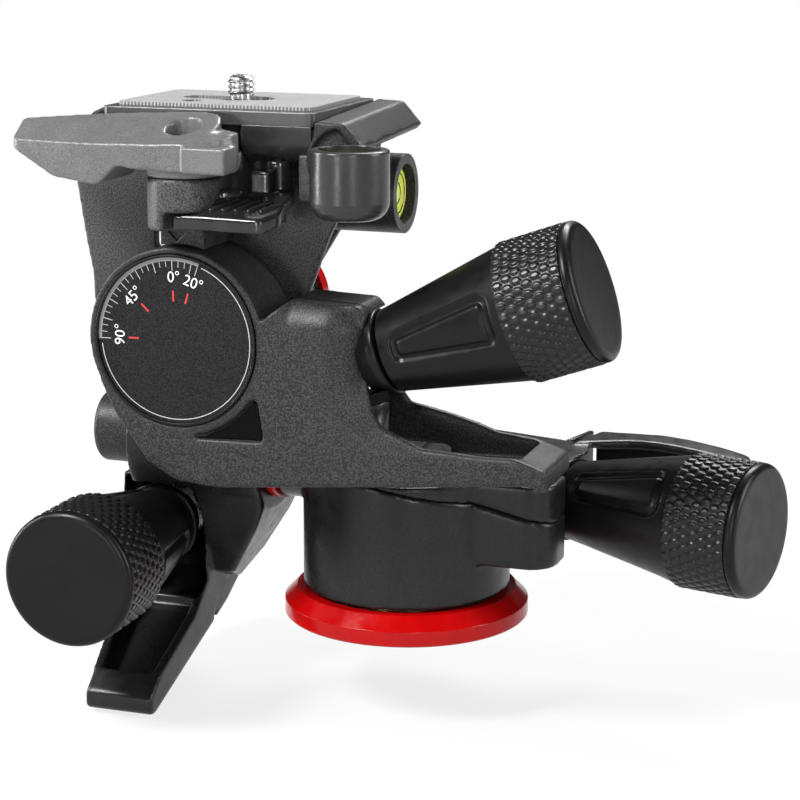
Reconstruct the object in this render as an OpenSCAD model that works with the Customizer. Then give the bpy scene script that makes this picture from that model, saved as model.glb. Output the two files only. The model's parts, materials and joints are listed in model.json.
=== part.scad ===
// Geared tripod head: a pan stage, a front tilt stage and a side tilt stage, each with a worm drive
// and a knob that is squeezed towards a fixed wing to free its worm, under a quick-release clamp.
// Origin: centre of the base's underside. +Z up, +X to the right, -Y towards the user.
// Drive frame: X along the knob's axis from its neck outwards, Y from the knob towards its wing,
// Z across, with the wheel of the drive on the side away from the wing.

/* [Base] */
// Outer radius of the base ring
base_r = 30; // [29:0.1:31]
// Height of the base ring's upright wall
base_wall_h = 3.8; // [3:0.1:4.5]
// Full height of the base ring
base_h = 6.9; // [6.5:0.1:7.2]
// Width of the base ring
base_ring_w = 6; // [5:0.1:8]
// Radius of the base hub, on which the pan stage turns
hub_r = 10; // [8:0.1:11]
// Radius of the upper pan journal
journal_r = 8; // [6:0.1:8.5]
// Height of the hub's top
hub_top = 36; // [34:0.1:36.5]
// Radius of the threaded bore for the tripod screw
tripod_thread_r = 4.0; // [3.9:0.01:4.8]
// Outer radius of the threaded bush
bush_r = 7; // [6:0.1:7.5]
// Depth of the threaded bush
bush_depth = 12; // [9:0.1:16]

/* [Pan stage] */
// Radius of the pan drum
drum_r = 25.4; // [25:0.1:25.8]
// Lower face of the pan drum
drum_bottom = 7.5; // [7.3:0.1:8]
// Upper face of the pan drum
drum_top = 37.5; // [36.5:0.1:37.7]
// Wall of the cast shells
wall = 2.4; // [1.8:0.1:2.6]
// Height of the pan drive's axis
pan_axis_z = 27.3; // [26.5:0.1:28]
// Turn of the pan drive towards the user
pan_yaw = 15; // [13:0.5:17]
// Underside of the pan gear housing
pan_box_bottom = 17.2; // [16.8:0.1:17.6]
// Height of the parting line at the pan axis
parting_z = 37.1; // [36:0.1:37.4]
// Slope of the parting line
parting_slope = 12.5; // [10:0.5:14]

/* [Front tilt stage] */
// Height of the front tilt axis
tip_axis_z = 40.5; // [40:0.1:41]
// Radius of the boss on the pan stage
boss_r = 13.8; // [13:0.1:14]
// Left end of the boss
boss_left = -30.6; // [-31:0.1:-30]
// Right end of the boss
boss_right = -3; // [-6:0.1:4]
// Radius of the front tilt gear housing
drum_b_r = 17.2; // [16.8:0.1:17.3]
// Left end of the front tilt gear housing
drum_b_left = -67.5; // [-68:0.1:-67]
// Right end of the front tilt gear housing
drum_b_right = -33.5; // [-34:0.1:-33.3]
// Place of the front tilt knob from left to right
tip_knob_x = -61.7; // [-62:0.1:-61]
// Radius of the end cap
end_cap_r = 9.1; // [8.8:0.1:10]
// Length of the end cap
end_cap_len = 13; // [12:0.1:15]

/* [Side tilt stage] */
// Side tilt axis from left to right
side_axis_x = -43; // [-43.5:0.1:-42.5]
// Height of the side tilt axis
side_axis_z = 72.2; // [71.8:0.1:72.6]
// Rise of the side tilt drive's axis
side_rise = 19.7; // [19:0.1:20.2]
// Front face of the tilt shell
shell_front = -40.8; // [-41.2:0.1:-40.4]
// Back face of the tilt shell behind the dial
shell_back = -20.9; // [-21:0.05:-20.8]
// Radius of the dial cup
cup_r = 21.6; // [21.2:0.1:21.8]
// Radius of the dial plate
dial_r = 19.4; // [18.5:0.1:19.8]
// Width of each wing
wing_w = 22; // [20:0.1:23]
// Thickness of the fork's cheeks
cheek_t = 2.8; // [2.4:0.1:3]
// Front face of the fork's front cheek
cheek_front = -20.5; // [-20.6:0.05:-20.4]
// Back face of the fork's rear cheek
cheek_back = 20.6; // [20.3:0.1:20.8]

/* [Drives] */
// Tooth module of the worm gears
tooth_m = 0.6; // [0.55:0.01:0.62]
// Pitch radius of the worms
worm_r = 6.6; // [6.4:0.1:6.7]
// Length of the threaded part of each worm
worm_len = 9; // [7:0.1:10]
// Teeth on the pan wheel
pan_teeth = 61; // [59:1:62]
// Teeth on the front tilt wheel
tip_teeth = 50; // [48:1:50]
// Teeth on the side tilt wheel
side_teeth = 36; // [34:1:36]
// Face width of the worm wheels
wheel_w = 5; // [4:0.1:5]
// Radius of the worm shafts
shaft_r = 2.5; // [2:0.1:3]
// From the side tilt worm to the knob's neck
side_reach = 46; // [45:0.1:47]
// From the front tilt worm to the knob's neck
tip_reach = 11.6; // [11.4:0.1:13]
// From the pan worm to the knob's neck
pan_reach = 33; // [32:0.1:34]
// From each worm to its clutch pivot
pivot_reach = 12.5; // [12:0.1:13]
// Clutch pivot's offset towards the wing
pivot_drop = 6; // [5.5:0.1:6.5]
// Radius of the clutch pivot pins
pivot_r = 1.8; // [1.5:0.1:2]

/* [Knobs] */
// Radius of the knob's neck
neck_r = 9.5; // [9:0.1:10]
// Length of the knob's cone
cone_len = 31.8; // [30:0.1:33]
// Radius of the cone's wide end
cone_r = 15.7; // [15:0.1:16]
// Radius of the rubber grip
grip_r = 16.3; // [16:0.1:16.5]
// Width of the rubber grip
grip_len = 15.6; // [14:0.1:17]
// Thickness of the knob's end face
cap_len = 2.6; // [2:0.1:3]

/* [Quick-release clamp] */
// Underside of the fork's deck
deck_bottom = 115; // [114.8:0.1:115.2]
// Upper face of the fork's deck
deck_top = 118.6; // [118:0.1:118.8]
// Left edge of the camera plate
plate_left = -64.8; // [-65:0.1:-64.5]
// Length of the camera plate
plate_l = 52.5; // [52:0.1:52.8]
// Front edge of the camera plate
plate_front = -31.2; // [-31.5:0.1:-31]
// Width of the camera plate
plate_w = 42.5; // [42:0.1:43]
// Upper face of the camera plate's metal
plate_top = 124.4; // [124:0.1:124.8]
// Thickness of the rubber pad
pad_t = 0.9; // [0.6:0.1:1.2]
// Radius of the camera screw's thread
camera_thread_r = 3.175; // [3:0.005:3.3]
// Height of the camera screw above the pad
camera_screw_h = 5.4; // [4.5:0.1:6]
// Lock lever's pivot from left to right
lever_x = -40; // [-40.5:0.1:-39.5]
// Lock lever's pivot from front to back
lever_y = -40; // [-40.3:0.1:-39.8]
// Radius of the bubble cup
level_r = 8.85; // [8.6:0.05:9]
// Radius of the tube level's housing
tube_r = 9.6; // [9:0.1:9.8]

/* [Hidden] */
$fn = 64;
running = 0.06;          // radial clearance of shafts in their bores
gap = 0.3;               // clearance between curved faces that pass each other
thin = 0.02;             // overlap of cutting tools past a face
tooth_add = tooth_m * 0.75;  // addendum of thread and teeth
tooth_ded = tooth_m * 1.2;
pitch = PI * tooth_m;
teeth_backlash = 1;      // room that lets the threads swing out of the teeth
spring_wire = 0.5;       // radius of the clutch springs' wire
spring_turns = 4;
spring_pitch = 1.6;
spring_r = 3.3;

pan_d = pan_teeth * tooth_m / 2 + worm_r;
tip_d = tip_teeth * tooth_m / 2 + worm_r;
side_d = side_teeth * tooth_m / 2 + worm_r;
knob_end = cone_len + grip_len + cap_len;
side_y = shell_front + wing_w / 2;
wing_half = wing_w / 2;
trough_half = wing_half - wall;
tip_knob_z = tip_axis_z - tip_d;
shell_inner = shell_front + wall + 0.6;
hub_floor = 6.2;
base_inner_r = base_r - base_ring_w;
plate_right = plate_left + plate_l;
camera_neck_r = camera_thread_r - 0.5;
cover_t = 1.3;
lug_r = 3.7;
carriage_half = 7.6;
plate_mid = [plate_left + plate_l / 2, plate_front + plate_w / 2];

// ---- Helpers ----

// Points of an arc about c, from angle a to angle b
function arc(c, r, a, b, n = 8) =
    [for (i = [0:n]) let (t = a + (b - a) * i / n) [c[0] + r * cos(t), c[1] + r * sin(t)]];

// An outline's points with each corner rounded to its own radius
function unit2(v) = v / norm(v);
function rounded(p, r, n = 5) = [for (i = [0:len(p) - 1]) let (
        q = p[i], u = unit2(p[(i + len(p) - 1) % len(p)] - q), v = unit2(p[(i + 1) % len(p)] - q),
        half = acos(u * v) / 2, t = r[i] / tan(half), c = q + unit2(u + v) * (r[i] / sin(half)),
        a = atan2((q + u * t - c)[1], (q + u * t - c)[0]),
        b0 = atan2((q + v * t - c)[1], (q + v * t - c)[0]),
        b = b0 - a > 180 ? b0 - 360 : (b0 - a < -180 ? b0 + 360 : b0))
    each (r[i] == 0 ? [q] : arc(c, r[i], a, b, n))];

// Extrudes an outline drawn in X and Z along Y, from y0 to y1
module along_y(y0, y1) {
    translate([0, y1, 0]) rotate([90, 0, 0]) linear_extrude(y1 - y0) children();
}

// A cylinder along X from x0 to x1, through y and z
module rod_x(x0, x1, r, y = 0, z = 0) {
    translate([x0, y, z]) rotate([0, 90, 0]) cylinder(h = x1 - x0, r = r);
}

// A cylinder along Y from y0 to y1, through x and z
module rod_y(y0, y1, r, x = 0, z = 0) {
    translate([x, y1, z]) rotate([90, 0, 0]) cylinder(h = y1 - y0, r = r);
}

// A box given by its two corners
module block(a, b) {
    translate(a) cube(b - a);
}

// ---- Drive frames ----

// The knob's neck of each drive
side_u = [cos(side_rise), sin(side_rise)];
side_neck = [side_axis_x + sin(side_rise) * side_d + side_u[0] * side_reach,
    side_axis_z - cos(side_rise) * side_d + side_u[1] * side_reach];
pan_neck = [sin(pan_yaw) * pan_d + cos(pan_yaw) * pan_reach,
    cos(pan_yaw) * pan_d - sin(pan_yaw) * pan_reach];

module side_frame() {
    s = sin(side_rise);
    c = cos(side_rise);
    multmatrix([[c, s, 0, side_neck[0]], [0, 0, 1, side_y], [s, -c, 0, side_neck[1]], [0, 0, 0, 1]])
        children();
}

module tip_frame() {
    multmatrix([[0, 0, 1, tip_knob_x], [-1, 0, 0, -tip_reach], [0, -1, 0, tip_knob_z], [0, 0, 0, 1]])
        children();
}

module pan_frame() {
    translate([pan_neck[0], pan_neck[1], pan_axis_z]) rotate([0, 0, -pan_yaw]) children();
}

// ---- Parts that the three drives share, in the drive frame ----

// Outline of a wheel's teeth, with a tooth centred on +Y
module wheel_outline(teeth) {
    r = teeth * tooth_m / 2;
    half = (pitch / 2 - teeth_backlash / 2) / 2 / r * 180 / PI;
    slope = tooth_m * 0.3 / r * 180 / PI;
    polygon([for (k = [0:teeth - 1]) let (t = 90 + 360 * k / teeth) each [
        [(r - tooth_ded) * cos(t - half - slope), (r - tooth_ded) * sin(t - half - slope)],
        [(r + tooth_add) * cos(t - half + slope), (r + tooth_add) * sin(t - half + slope)],
        [(r + tooth_add) * cos(t + half - slope), (r + tooth_add) * sin(t + half - slope)],
        [(r - tooth_ded) * cos(t + half + slope), (r - tooth_ded) * sin(t + half + slope)]]]);
}

// A worm wheel on the axis of its stage
module wheel(teeth, reach, d, bore) {
    translate([-reach, -d, -wheel_w / 2]) linear_extrude(wheel_w) difference() {
        wheel_outline(teeth);
        circle(r = bore);
    }
}

// A single-start thread about X, crossing the wheel's gaps
module thread(reach) {
    sides = 20;
    turns = worm_len / pitch - 0.8;
    steps = round(turns * sides);
    root_r = worm_r - tooth_ded - 0.25;
    tip_r = worm_r + tooth_add;
    tip_w = (pitch / 2 - teeth_backlash / 2) / 2 - tooth_m * 0.3;
    root_w = tip_w + tooth_m * 0.65;
    start = -turns / 2 * 360;
    ring = [[-root_w, root_r], [-tip_w, tip_r], [tip_w, tip_r], [root_w, root_r]];
    points = [for (i = [0:steps]) let (a = start + turns * 360 * i / steps)
        for (q = ring) [-reach + pitch * a / 360 + q[0], q[1] * cos(a), q[1] * sin(a)]];
    faces = concat(
        [for (i = [0:steps - 1], j = [0:3]) let (a = i * 4 + j, b = i * 4 + (j + 1) % 4)
            each [[a, b, b + 4], [a, b + 4, a + 4]]],
        [[0, 3, 2], [0, 2, 1]],
        [[steps * 4, steps * 4 + 1, steps * 4 + 2], [steps * 4, steps * 4 + 2, steps * 4 + 3]]);
    polyhedron(points, faces);
}

// A worm on its shaft, which runs on into the knob
module worm(reach) {
    color("dimgray") union() {
        rod_x(-reach - 10, 26, shaft_r);
        rod_x(-reach - worm_len / 2, -reach + worm_len / 2, worm_r - tooth_ded);
        thread(reach);
    }
}

// The carriage that holds the worm's two bearings and swings on the clutch pivot
module carriage(reach, teeth) {
    wheel_tip = (teeth / 2 + 1) * tooth_m;
    pivot_x = -reach - pivot_reach;
    rail_top = worm_r + tooth_add + 0.7;
    rail_bottom = rail_top + 3;
    color("darkslategray") difference() {
        union() {
            translate([0, 0, -carriage_half]) linear_extrude(2 * carriage_half)
                polygon([[pivot_x, pivot_drop - lug_r], [pivot_x, pivot_drop + lug_r],
                    [pivot_x + 4, rail_bottom], [-1.2, rail_bottom - 0.6], [-1.2, rail_top],
                    [-reach - 6, rail_top], [-reach - 6, -4], [-reach - 9, -4],
                    [-reach - 9, pivot_drop - lug_r]]);
            translate([pivot_x, pivot_drop, -carriage_half])
                cylinder(h = 2 * carriage_half, r = lug_r);
            rod_x(-5.6, -1, 8.8);
        }
        rod_x(-reach - 12, 1, shaft_r + running);
        translate([-reach, -teeth * tooth_m / 2 - worm_r, -carriage_half - 2])
            cylinder(h = 2 * carriage_half + 4, r = wheel_tip + 0.6);
        translate([pivot_x, pivot_drop, -carriage_half - 1])
            cylinder(h = 2 * carriage_half + 2, r = pivot_r + running);
        translate([pivot_x - lug_r - 1, pivot_drop - lug_r - 1, -4.6])
            cube([2 * lug_r + 1.5, 2 * lug_r + 2, 9.2]);
    }
}

module pivot_pin(reach, low, high) {
    color("silver") translate([-reach - pivot_reach, pivot_drop, low])
        cylinder(h = high - low, r = pivot_r);
}

module pivot_bore(reach, low, high) {
    translate([-reach - pivot_reach, pivot_drop, low]) cylinder(h = high - low, r = pivot_r + 0.01);
}

// Point i of the clutch spring's wire, a helix with straight ends
spring_steps = 8;
function spring_point(i, n) = let (k = min(max(i, 1), n - 1) - 1, a = 360 * k / spring_steps,
        end = i == 0 ? -1 : (i == n ? 1 : 0), z = spring_pitch * (k / spring_steps - spring_turns / 2))
    [spring_r * cos(a) - end * 2 * spring_wire * sin(a),
        spring_r * sin(a) + end * 2 * spring_wire * cos(a), z];

// The clutch spring, one wire wound about the pivot pin
module clutch_spring(reach) {
    n = spring_turns * spring_steps + 2;
    path = [for (i = [0:n]) spring_point(i, n)];
    points = [for (i = [0:n]) let (t = unit3(path[min(i + 1, n)] - path[max(i - 1, 0)]),
            side = unit3([path[i][0], path[i][1], 0]), up = cross(t, side))
        for (j = [0:5]) path[i] + spring_wire * (cos(60 * j) * side + sin(60 * j) * up)];
    faces = concat(
        [for (i = [0:n - 1], j = [0:5]) let (a = i * 6 + j, b = i * 6 + (j + 1) % 6)
            each [[a, b, b + 6], [a, b + 6, a + 6]]],
        [for (j = [1:4]) [0, j + 1, j]],
        [for (j = [1:4]) [n * 6, n * 6 + j, n * 6 + j + 1]]);
    color("silver") translate([-reach - pivot_reach, pivot_drop, 0]) polyhedron(points, faces);
}
function unit3(v) = v / norm(v);
spring_path = [for (i = [0:spring_turns * spring_steps + 2])
    spring_point(i, spring_turns * spring_steps + 2)];
spring_gap = min([for (i = [1:len(spring_path) - 2], j = [i + 5:1:len(spring_path) - 2])
    norm(spring_path[i] - spring_path[j])]) - 2 * spring_wire;
echo(least_spring_gap_mm = spring_gap);

// A knob's satin cone and end face, bored for the worm's shaft
module knob() {
    lip = 1.2;
    color("black") difference() {
        rotate([0, 90, 0]) rotate_extrude() polygon(concat(
            [[0, 0], [neck_r - lip, 0]], arc([neck_r - lip, lip], lip, -90, -12, 5),
            [[cone_r, cone_len], [grip_r - 1.5, cone_len], [grip_r - 1.5, cone_len + grip_len],
                [grip_r - 0.1, cone_len + grip_len]],
            arc([grip_r - 1.6, knob_end - 1.5], 1.5, 0, 90, 6), [[0, knob_end - 0.5]]));
        rod_x(-1, 26, shaft_r + 0.01);
    }
}

// The knob's rubber grip
module grip() {
    color("dimgray") rotate([0, 90, 0]) translate([0, 0, cone_len]) difference() {
        cylinder(h = grip_len, r = grip_r);
        translate([0, 0, -1]) cylinder(h = grip_len + 2, r = grip_r - 1.48);
    }
}

// The fixed wing beside a knob, with its trough; root is where it joins its housing
module wing_solid(root) {
    translate([0, 0, -wing_half]) linear_extrude(wing_w) polygon(rounded([[root, 29.2 + root / 4.8],
        [root, 13], [-4.6, 15.4], [3, 21.8], [16.4, 27], [23.5, 30], [29.4, 34.4], [29.9, 39.4],
        [26, 39]], [0, 0, 1, 5, 4, 1, 1.5, 2, 1.5]));
}

// Plan in X and Z of a wing that narrows on one side towards its tip
module wing_taper(edge) {
    rotate([-90, 0, 0]) translate([0, 0, -60]) linear_extrude(140) scale([1, -1])
        polygon([[-40, -wing_half + edge], [2, -wing_half + edge], [25, -wing_half + 4.4 + edge],
            [31, -wing_half + 4.8 + edge], [31, wing_half + 1], [-40, wing_half + 1]]);
}

module wing_trough(root) {
    translate([0, 0, -trough_half]) linear_extrude(2 * trough_half) polygon([[root, 26.2 + root / 4.8],
        [root, 8], [3, 8], [23.4, 27], [23.4, 32.8], [21, 34.2]]);
}

// ---- Base ----

module base_ring() {
    chamfer = base_h - base_wall_h;
    color("red") rotate_extrude() polygon([[base_inner_r, 0], [base_r - 0.4, 0], [base_r, 0.4],
        [base_r, base_wall_h], [base_r - chamfer, base_h], [base_inner_r, base_h]]);
}

module base_hub() {
    color("darkgray") difference() {
        union() {
            translate([0, 0, 0.3]) cylinder(h = hub_floor - 0.3, r = base_inner_r - 0.02);
            cylinder(h = hub_top - 5, r = hub_r);
            cylinder(h = hub_top, r = journal_r);
        }
        translate([0, 0, -1]) cylinder(h = bush_depth + 1, r = bush_r + 0.02);
        translate([0, 0, bush_depth - 1]) cylinder(h = hub_top, r = tripod_thread_r + 0.6);
        for (a = [45:90:315]) rotate([0, 0, a]) translate([17, 0, -1])
            cylinder(h = hub_floor - 1.2, r = 2.7);
    }
}

module tripod_bush() {
    color("goldenrod") difference() {
        cylinder(h = bush_depth, r = bush_r);
        translate([0, 0, -1]) cylinder(h = bush_depth + 2, r = tripod_thread_r);
    }
}

module pan_wheel() {
    color("goldenrod") difference() {
        pan_frame() wheel(pan_teeth, pan_reach, pan_d, hub_r + 0.02);
    }
}

// Socket screws that hold the wheel's flange and close the base
module base_screws() {
    color("silver") for (a = [45:90:315]) rotate([0, 0, a]) translate([17, 0, 0.6]) difference() {
        cylinder(h = hub_floor - 2.9, r = 2.6);
        translate([0, 0, -1]) cylinder(h = 2.5, r = 1.4, $fn = 6);
    }
}

// ---- Pan stage ----

// Plan of the gear housing beside and behind the drum
module pan_box_plan(inset) {
    i = inset;
    polygon(rounded([[8, -20 + i], [21.4 - i, -14.2 + i], [40.2 - i, -14.2 + i], [40.2 - i, -1],
        [34.4, 5.2], [39.4, 24.5], [38.2, 31 - i], [32, 34.6 - i], [-9, 45.4 - i], [-15.4 + i, 42 - i],
        [-18 + i, 30], [-20 + i, 14]], [0, 2, 6.5 - i, 1, 0, 0, 1, 2, 3, 2, 2, 2]));
}

module pan_outer() {
    translate([0, 0, drum_bottom]) cylinder(h = drum_top - drum_bottom, r = drum_r);
    translate([0, 0, pan_box_bottom]) linear_extrude(drum_top - pan_box_bottom) pan_box_plan(0);
    translate([boss_left, 0, tip_axis_z]) rotate([0, 90, 0]) rotate_extrude() polygon(concat([[0, 0],
        [boss_r, 0]], arc([boss_r - 4, boss_right - boss_left - 4], 4, 0, 90, 6),
        [[0, boss_right - boss_left]]));
    block([-24, -boss_r + 1, 32], [boss_right - 4, boss_r - 1, tip_axis_z]);
    pan_frame() wing_solid(-8);
}

module pan_cavity() {
    low = pan_box_bottom + wall;
    high = drum_top - wall;
    translate([0, 0, drum_bottom + wall]) cylinder(h = high - drum_bottom - wall, r = drum_r - wall);
    translate([0, 0, low]) linear_extrude(high - low) pan_box_plan(wall);
    pan_frame() {
        wing_trough(-8);
        translate([-12, -10, -9.4]) cube([16, 28, 18.8]);
    }
}

// Space below the parting line, with the whole boss
module pan_parting() {
    translate([0, 0, parting_z]) rotate([0, parting_slope, 0]) translate([-120, -120, -120])
        cube([240, 240, 120]);
    block([boss_left - 1, -boss_r - 1, drum_top - 1], [boss_right + 0.2, boss_r + 1,
        tip_axis_z + boss_r + 1]);
}

module pan_body() {
    difference() {
        pan_outer();
        pan_cavity();
        translate([0, 0, 0]) cylinder(h = drum_bottom + wall + 1, r = hub_r + running);
        translate([0, 0, hub_top - 6]) cylinder(h = 6.2, r = journal_r + running);
        rod_x(boss_left - 1, boss_right - 4, 4.03, 0, tip_axis_z);
        pan_frame() pivot_bore(pan_reach, -9.5, 9.3);
    }
}

module pan_lower_shell() {
    color("#2e2e30") intersection() {
        pan_body();
        pan_parting();
    }
}

module pan_upper_shell() {
    color("#2a2a2c") difference() {
        pan_body();
        pan_parting();
    }
}

module pan_bearing() {
    color("goldenrod") difference() {
        translate([0, 0, hub_floor]) cylinder(h = drum_bottom - hub_floor, r = 18);
        translate([0, 0, hub_floor - 1]) cylinder(h = 4, r = hub_r + 0.3);
    }
}

// The ring on the hub that holds the pan stage down on its bearing
module pan_retainer() {
    color("silver") difference() {
        translate([0, 0, drum_bottom + wall + 0.1]) cylinder(h = 4, r = hub_r + 5);
        translate([0, 0, drum_bottom]) cylinder(h = 10, r = hub_r + 0.01);
    }
}

module tip_shaft() {
    color("silver") rod_x(drum_b_left - end_cap_len + 2.2, boss_right - 4.4, 4, 0, tip_axis_z);
}

module tip_wheel() {
    color("goldenrod") tip_frame() wheel(tip_teeth, tip_reach, tip_d, 4.01);
}

module tip_ring() {
    color("red") difference() {
        rod_x(boss_left - 2.4, boss_left, boss_r + 0.6, 0, tip_axis_z);
        rod_x(boss_left - 3, boss_left + 1, 4.02, 0, tip_axis_z);
    }
}

// Lock nut on the shaft inside the end cap
module tip_nut() {
    color("silver") difference() {
        translate([drum_b_left - 8, 0, tip_axis_z]) rotate([0, 90, 0])
            cylinder(h = 5, r = 7, $fn = 6);
        rod_x(drum_b_left - 9, drum_b_left, 4.01, 0, tip_axis_z);
    }
}

module pan_carriage() { pan_frame() carriage(pan_reach, pan_teeth); }
module pan_pivot_pin() { pan_frame() pivot_pin(pan_reach, -9.4, 9.2); }
module pan_clutch_spring() { pan_frame() clutch_spring(pan_reach); }
module pan_worm() { pan_frame() worm(pan_reach); }
module pan_knob() { pan_frame() knob(); }
module pan_grip() { pan_frame() grip(); }

// ---- Front tilt stage: the tilt block ----

// Front outline of the tilt shell: dial cup, gear housing, sill and wing
module shell_outline() {
    translate([side_axis_x, side_axis_z]) circle(r = cup_r);
    polygon(rounded([[-62.4, 62], [-58.6, 54], [-50.2, 42.6], [-43.2, 38.9], [-33.7, 38.1],
        [11.5, 42.1], [41.5, 44.9], [45.6, 43.4], [45.4, 48.5], [38.2, 50.9], [30.6, 50.7],
        [16.2, 51.4], [6.9, 55.1], [4.4, 58.2], [0.4, 71.6], [2.2, 79.8], [0, 82.2], [-15.8, 82.9],
        [-22.2, 77.8], [-34, 62], [-50, 60]],
        [0, 6, 6, 4, 1, 2, 1, 0.8, 1, 1, 4, 6, 2, 4, 3, 1, 1.5, 2, 2, 0, 0]));
}

// Space inside the tilt shell
module shell_room() {
    translate([side_axis_x, side_axis_z]) circle(r = cup_r - wall);
    polygon([[-58, 60], [-53.8, 52.2], [-48.2, 44.8], [-42.4, 41.5], [-33, 40.8], [11.5, 44.8],
        [22, 46], [14, 50], [3.6, 53.2], [2, 57.4], [-2, 71.5], [6, 77.6], [6, 79.8], [-15, 80.3],
        [-24, 72], [-40, 60]]);
}

module tilt_shell() {
    color("#313133") difference() {
        union() {
            along_y(shell_front, shell_back) shell_outline();
            along_y(shell_back, shell_front + wing_w) intersection() {
                shell_outline();
                translate([-14, 30]) square([70, 32]);
            }
            along_y(shell_back - 0.5, shell_front + wing_w) polygon([[0, 46], [3, 60.5], [5.6, 60],
                [7.3, 57.5], [12.9, 56.4], [17.8, 55.3], [23.8, 53.7], [28.7, 52], [37.2, 51.1],
                [42, 47]]);
        }
        along_y(shell_inner, shell_back - 0.4) shell_room();
        along_y(shell_back - 0.5, 0) intersection() {
            shell_room();
            translate([-80, 30]) square([82, 70]);
        }
        side_frame() {
            wing_trough(-10);
            translate([-14, 2, -trough_half]) cube([22, 18, 2 * trough_half]);
            // mouth, in which the carriage's collar swings
            translate([-10, -9.3, -9.2]) cube([20, 25, 18.4]);
            translate([-side_reach - pivot_reach - 4.6, pivot_drop - 4.8, -8.2])
                cube([side_reach + 12, 10.8, 16.4]);
        }
        // clearance over the pan drum when the stage tips forward
        translate([0, 0, 30]) cylinder(h = 18, r = drum_r + 1.6);
        block([-8, shell_back - thin, 60], [60, 0, 100]);
        // seat of the dial
        rod_y(shell_front - 1, shell_front + 1.4, cup_r - 1.6, side_axis_x, side_axis_z);
        // window under the dial
        along_y(shell_front - 1, shell_front + 1.8) difference() {
            polygon([[-38.4, 49.4], [-39, 50.6], [-24.2, 60], [-22.8, 59], [-21.4, 49.9]]);
            translate([side_axis_x, side_axis_z]) circle(r = cup_r + 0.8);
        }
        side_frame() pivot_bore(side_reach, -9.5, 10);
        rod_y(shell_front + 1.4 - thin, 0, 3.06, side_axis_x, side_axis_z);
    }
}

// The plate that closes the back of the tilt shell
module tilt_shell_cover() {
    color("#252527") difference() {
        along_y(shell_back - cover_t, shell_back - thin) intersection() {
            shell_room();
            translate([-80, 48.4]) square([76, 60]);
        }
        rod_y(-30, 0, 4 + running, side_axis_x, side_axis_z);
        side_frame() pivot_bore(side_reach, 0, 8.7);
        for (p = cover_screws) rod_y(-30, 0, 1.3, p[0], p[1]);
    }
}
cover_screws = [[-10.5, 78.4], [-33, 85], [-59.6, 72.2]];

module shell_screws() {
    color("silver") for (p = cover_screws)
        rod_y(shell_back - 8, shell_back - thin, 1.29, p[0], p[1]);
}

// The casting behind the shell: front tilt gear housing, knob wing, and rear ear of the side axis
module tilt_cradle() {
    color("#2c2c2e") difference() {
        union() {
            rod_x(drum_b_left, drum_b_right, drum_b_r, 0, tip_axis_z);
            // housing round the worm, under the drum
            translate([tip_knob_x - wing_half, 0, 0]) rotate([90, 0, 90])
                linear_extrude(wing_w) polygon(cradle_side());
            intersection() {
                translate([tip_knob_x + wing_half - thin, 0, 0]) rotate([90, 0, 90])
                    linear_extrude(drum_b_right - tip_knob_x - wing_half) polygon(cradle_flank());
                along_y(-40, 40) polygon([[-60, -10], [-53, -9.4], [-45.6, 4], [-36.6, 18.6],
                    [-33.4, 25.4], [-33, 50], [-60, 50]]);
            }
            tip_frame() intersection() {
                wing_solid(-10);
                wing_taper(0);
            }
            // bridge to the tilt shell
            difference() {
                translate([-49.5, 0, 0]) rotate([90, 0, 90]) linear_extrude(drum_b_right + 49.5)
                    polygon([[-33, 39.5], [-21, 38.8], [-18, 35.5], [-8, 33], [-8, 43], [-33, 43]]);
                along_y(-60, 0) translate([0, -thin]) shell_outline();
                block([-60, shell_back + 0.3, 40.4], [-20, -16.5, 50]);
            }
            // rear ear
            along_y(21.1, 24.5) {
                translate([side_axis_x, side_axis_z]) circle(r = 12.6);
                polygon([[-56, 30], [drum_b_right, 30], [-32, 66], [-54, 66]]);
            }
            block([-56, 8, 28], [drum_b_right, 24.5, 39.4]);
        }
        // room beside the end cap
        block([-75, -30, 30.6], [drum_b_left, 30, 60]);
        // room for the wheel, the worm and the carriage
        rod_x(tip_knob_x - 4, tip_knob_x + 4, tip_teeth * tooth_m / 2 + 1.1, 0, tip_axis_z);
        translate([tip_knob_x - trough_half, 0, 0]) rotate([90, 0, 90])
            linear_extrude(2 * trough_half) polygon(cradle_room());
        tip_frame() intersection() {
            wing_trough(-10);
            wing_taper(wall);
        }
        // passage of the knob's neck and collar
        tip_frame() translate([-10, -11, -10.4]) cube([24, 30, 20.8]);
        rod_x(drum_b_left - 1, drum_b_right + 1, 4 + running, 0, tip_axis_z);
        tip_frame() pivot_bore(tip_reach, -9.5, 9.7);
        rod_y(10, 30, 4 + running, side_axis_x, side_axis_z);
    }
}
// Side outlines of the cradle, as points of Y and Z
function cradle_side() = [[-7.6, 34], [-8.2, 24], [-6.4, 5.4], [0, -7.6], [7, -5.2], [15, -1],
    [19.5, 3.4], [20.5, 9], [17.1, 36]];
function cradle_flank() = [[-14.5, 34], [-9.5, 20], [-4, 6], [6, 2], [14, 8], [17.1, 36]];
function cradle_room() = [[-12, 29.4], [-12, 6.6], [-2, -2.8], [6, -2.4], [13.6, 1.2], [17, 5],
    [17.6, 10], [16.2, 26.6], [12, 29.4]];

module tip_end_cap() {
    color("#2a2a2c") difference() {
        translate([drum_b_left, 0, tip_axis_z]) rotate([0, -90, 0]) rotate_extrude() polygon(concat(
            [[0, 0], [end_cap_r, 0]], arc([end_cap_r - 1.5, end_cap_len - 1.5], 1.5, 0, 90, 5),
            [[0, end_cap_len]]));
        rod_x(drum_b_left - end_cap_len + 1.9, drum_b_left + 1, 7.4, 0, tip_axis_z);
    }
}

module side_ear_ring() {
    color("red") difference() {
        rod_y(21.1, 24.9, 13.6, side_axis_x, side_axis_z);
        rod_y(20, 26, 12.62, side_axis_x, side_axis_z);
        block([-60, 20, 50], [-20, 26, 66.4]);
    }
}

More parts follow.
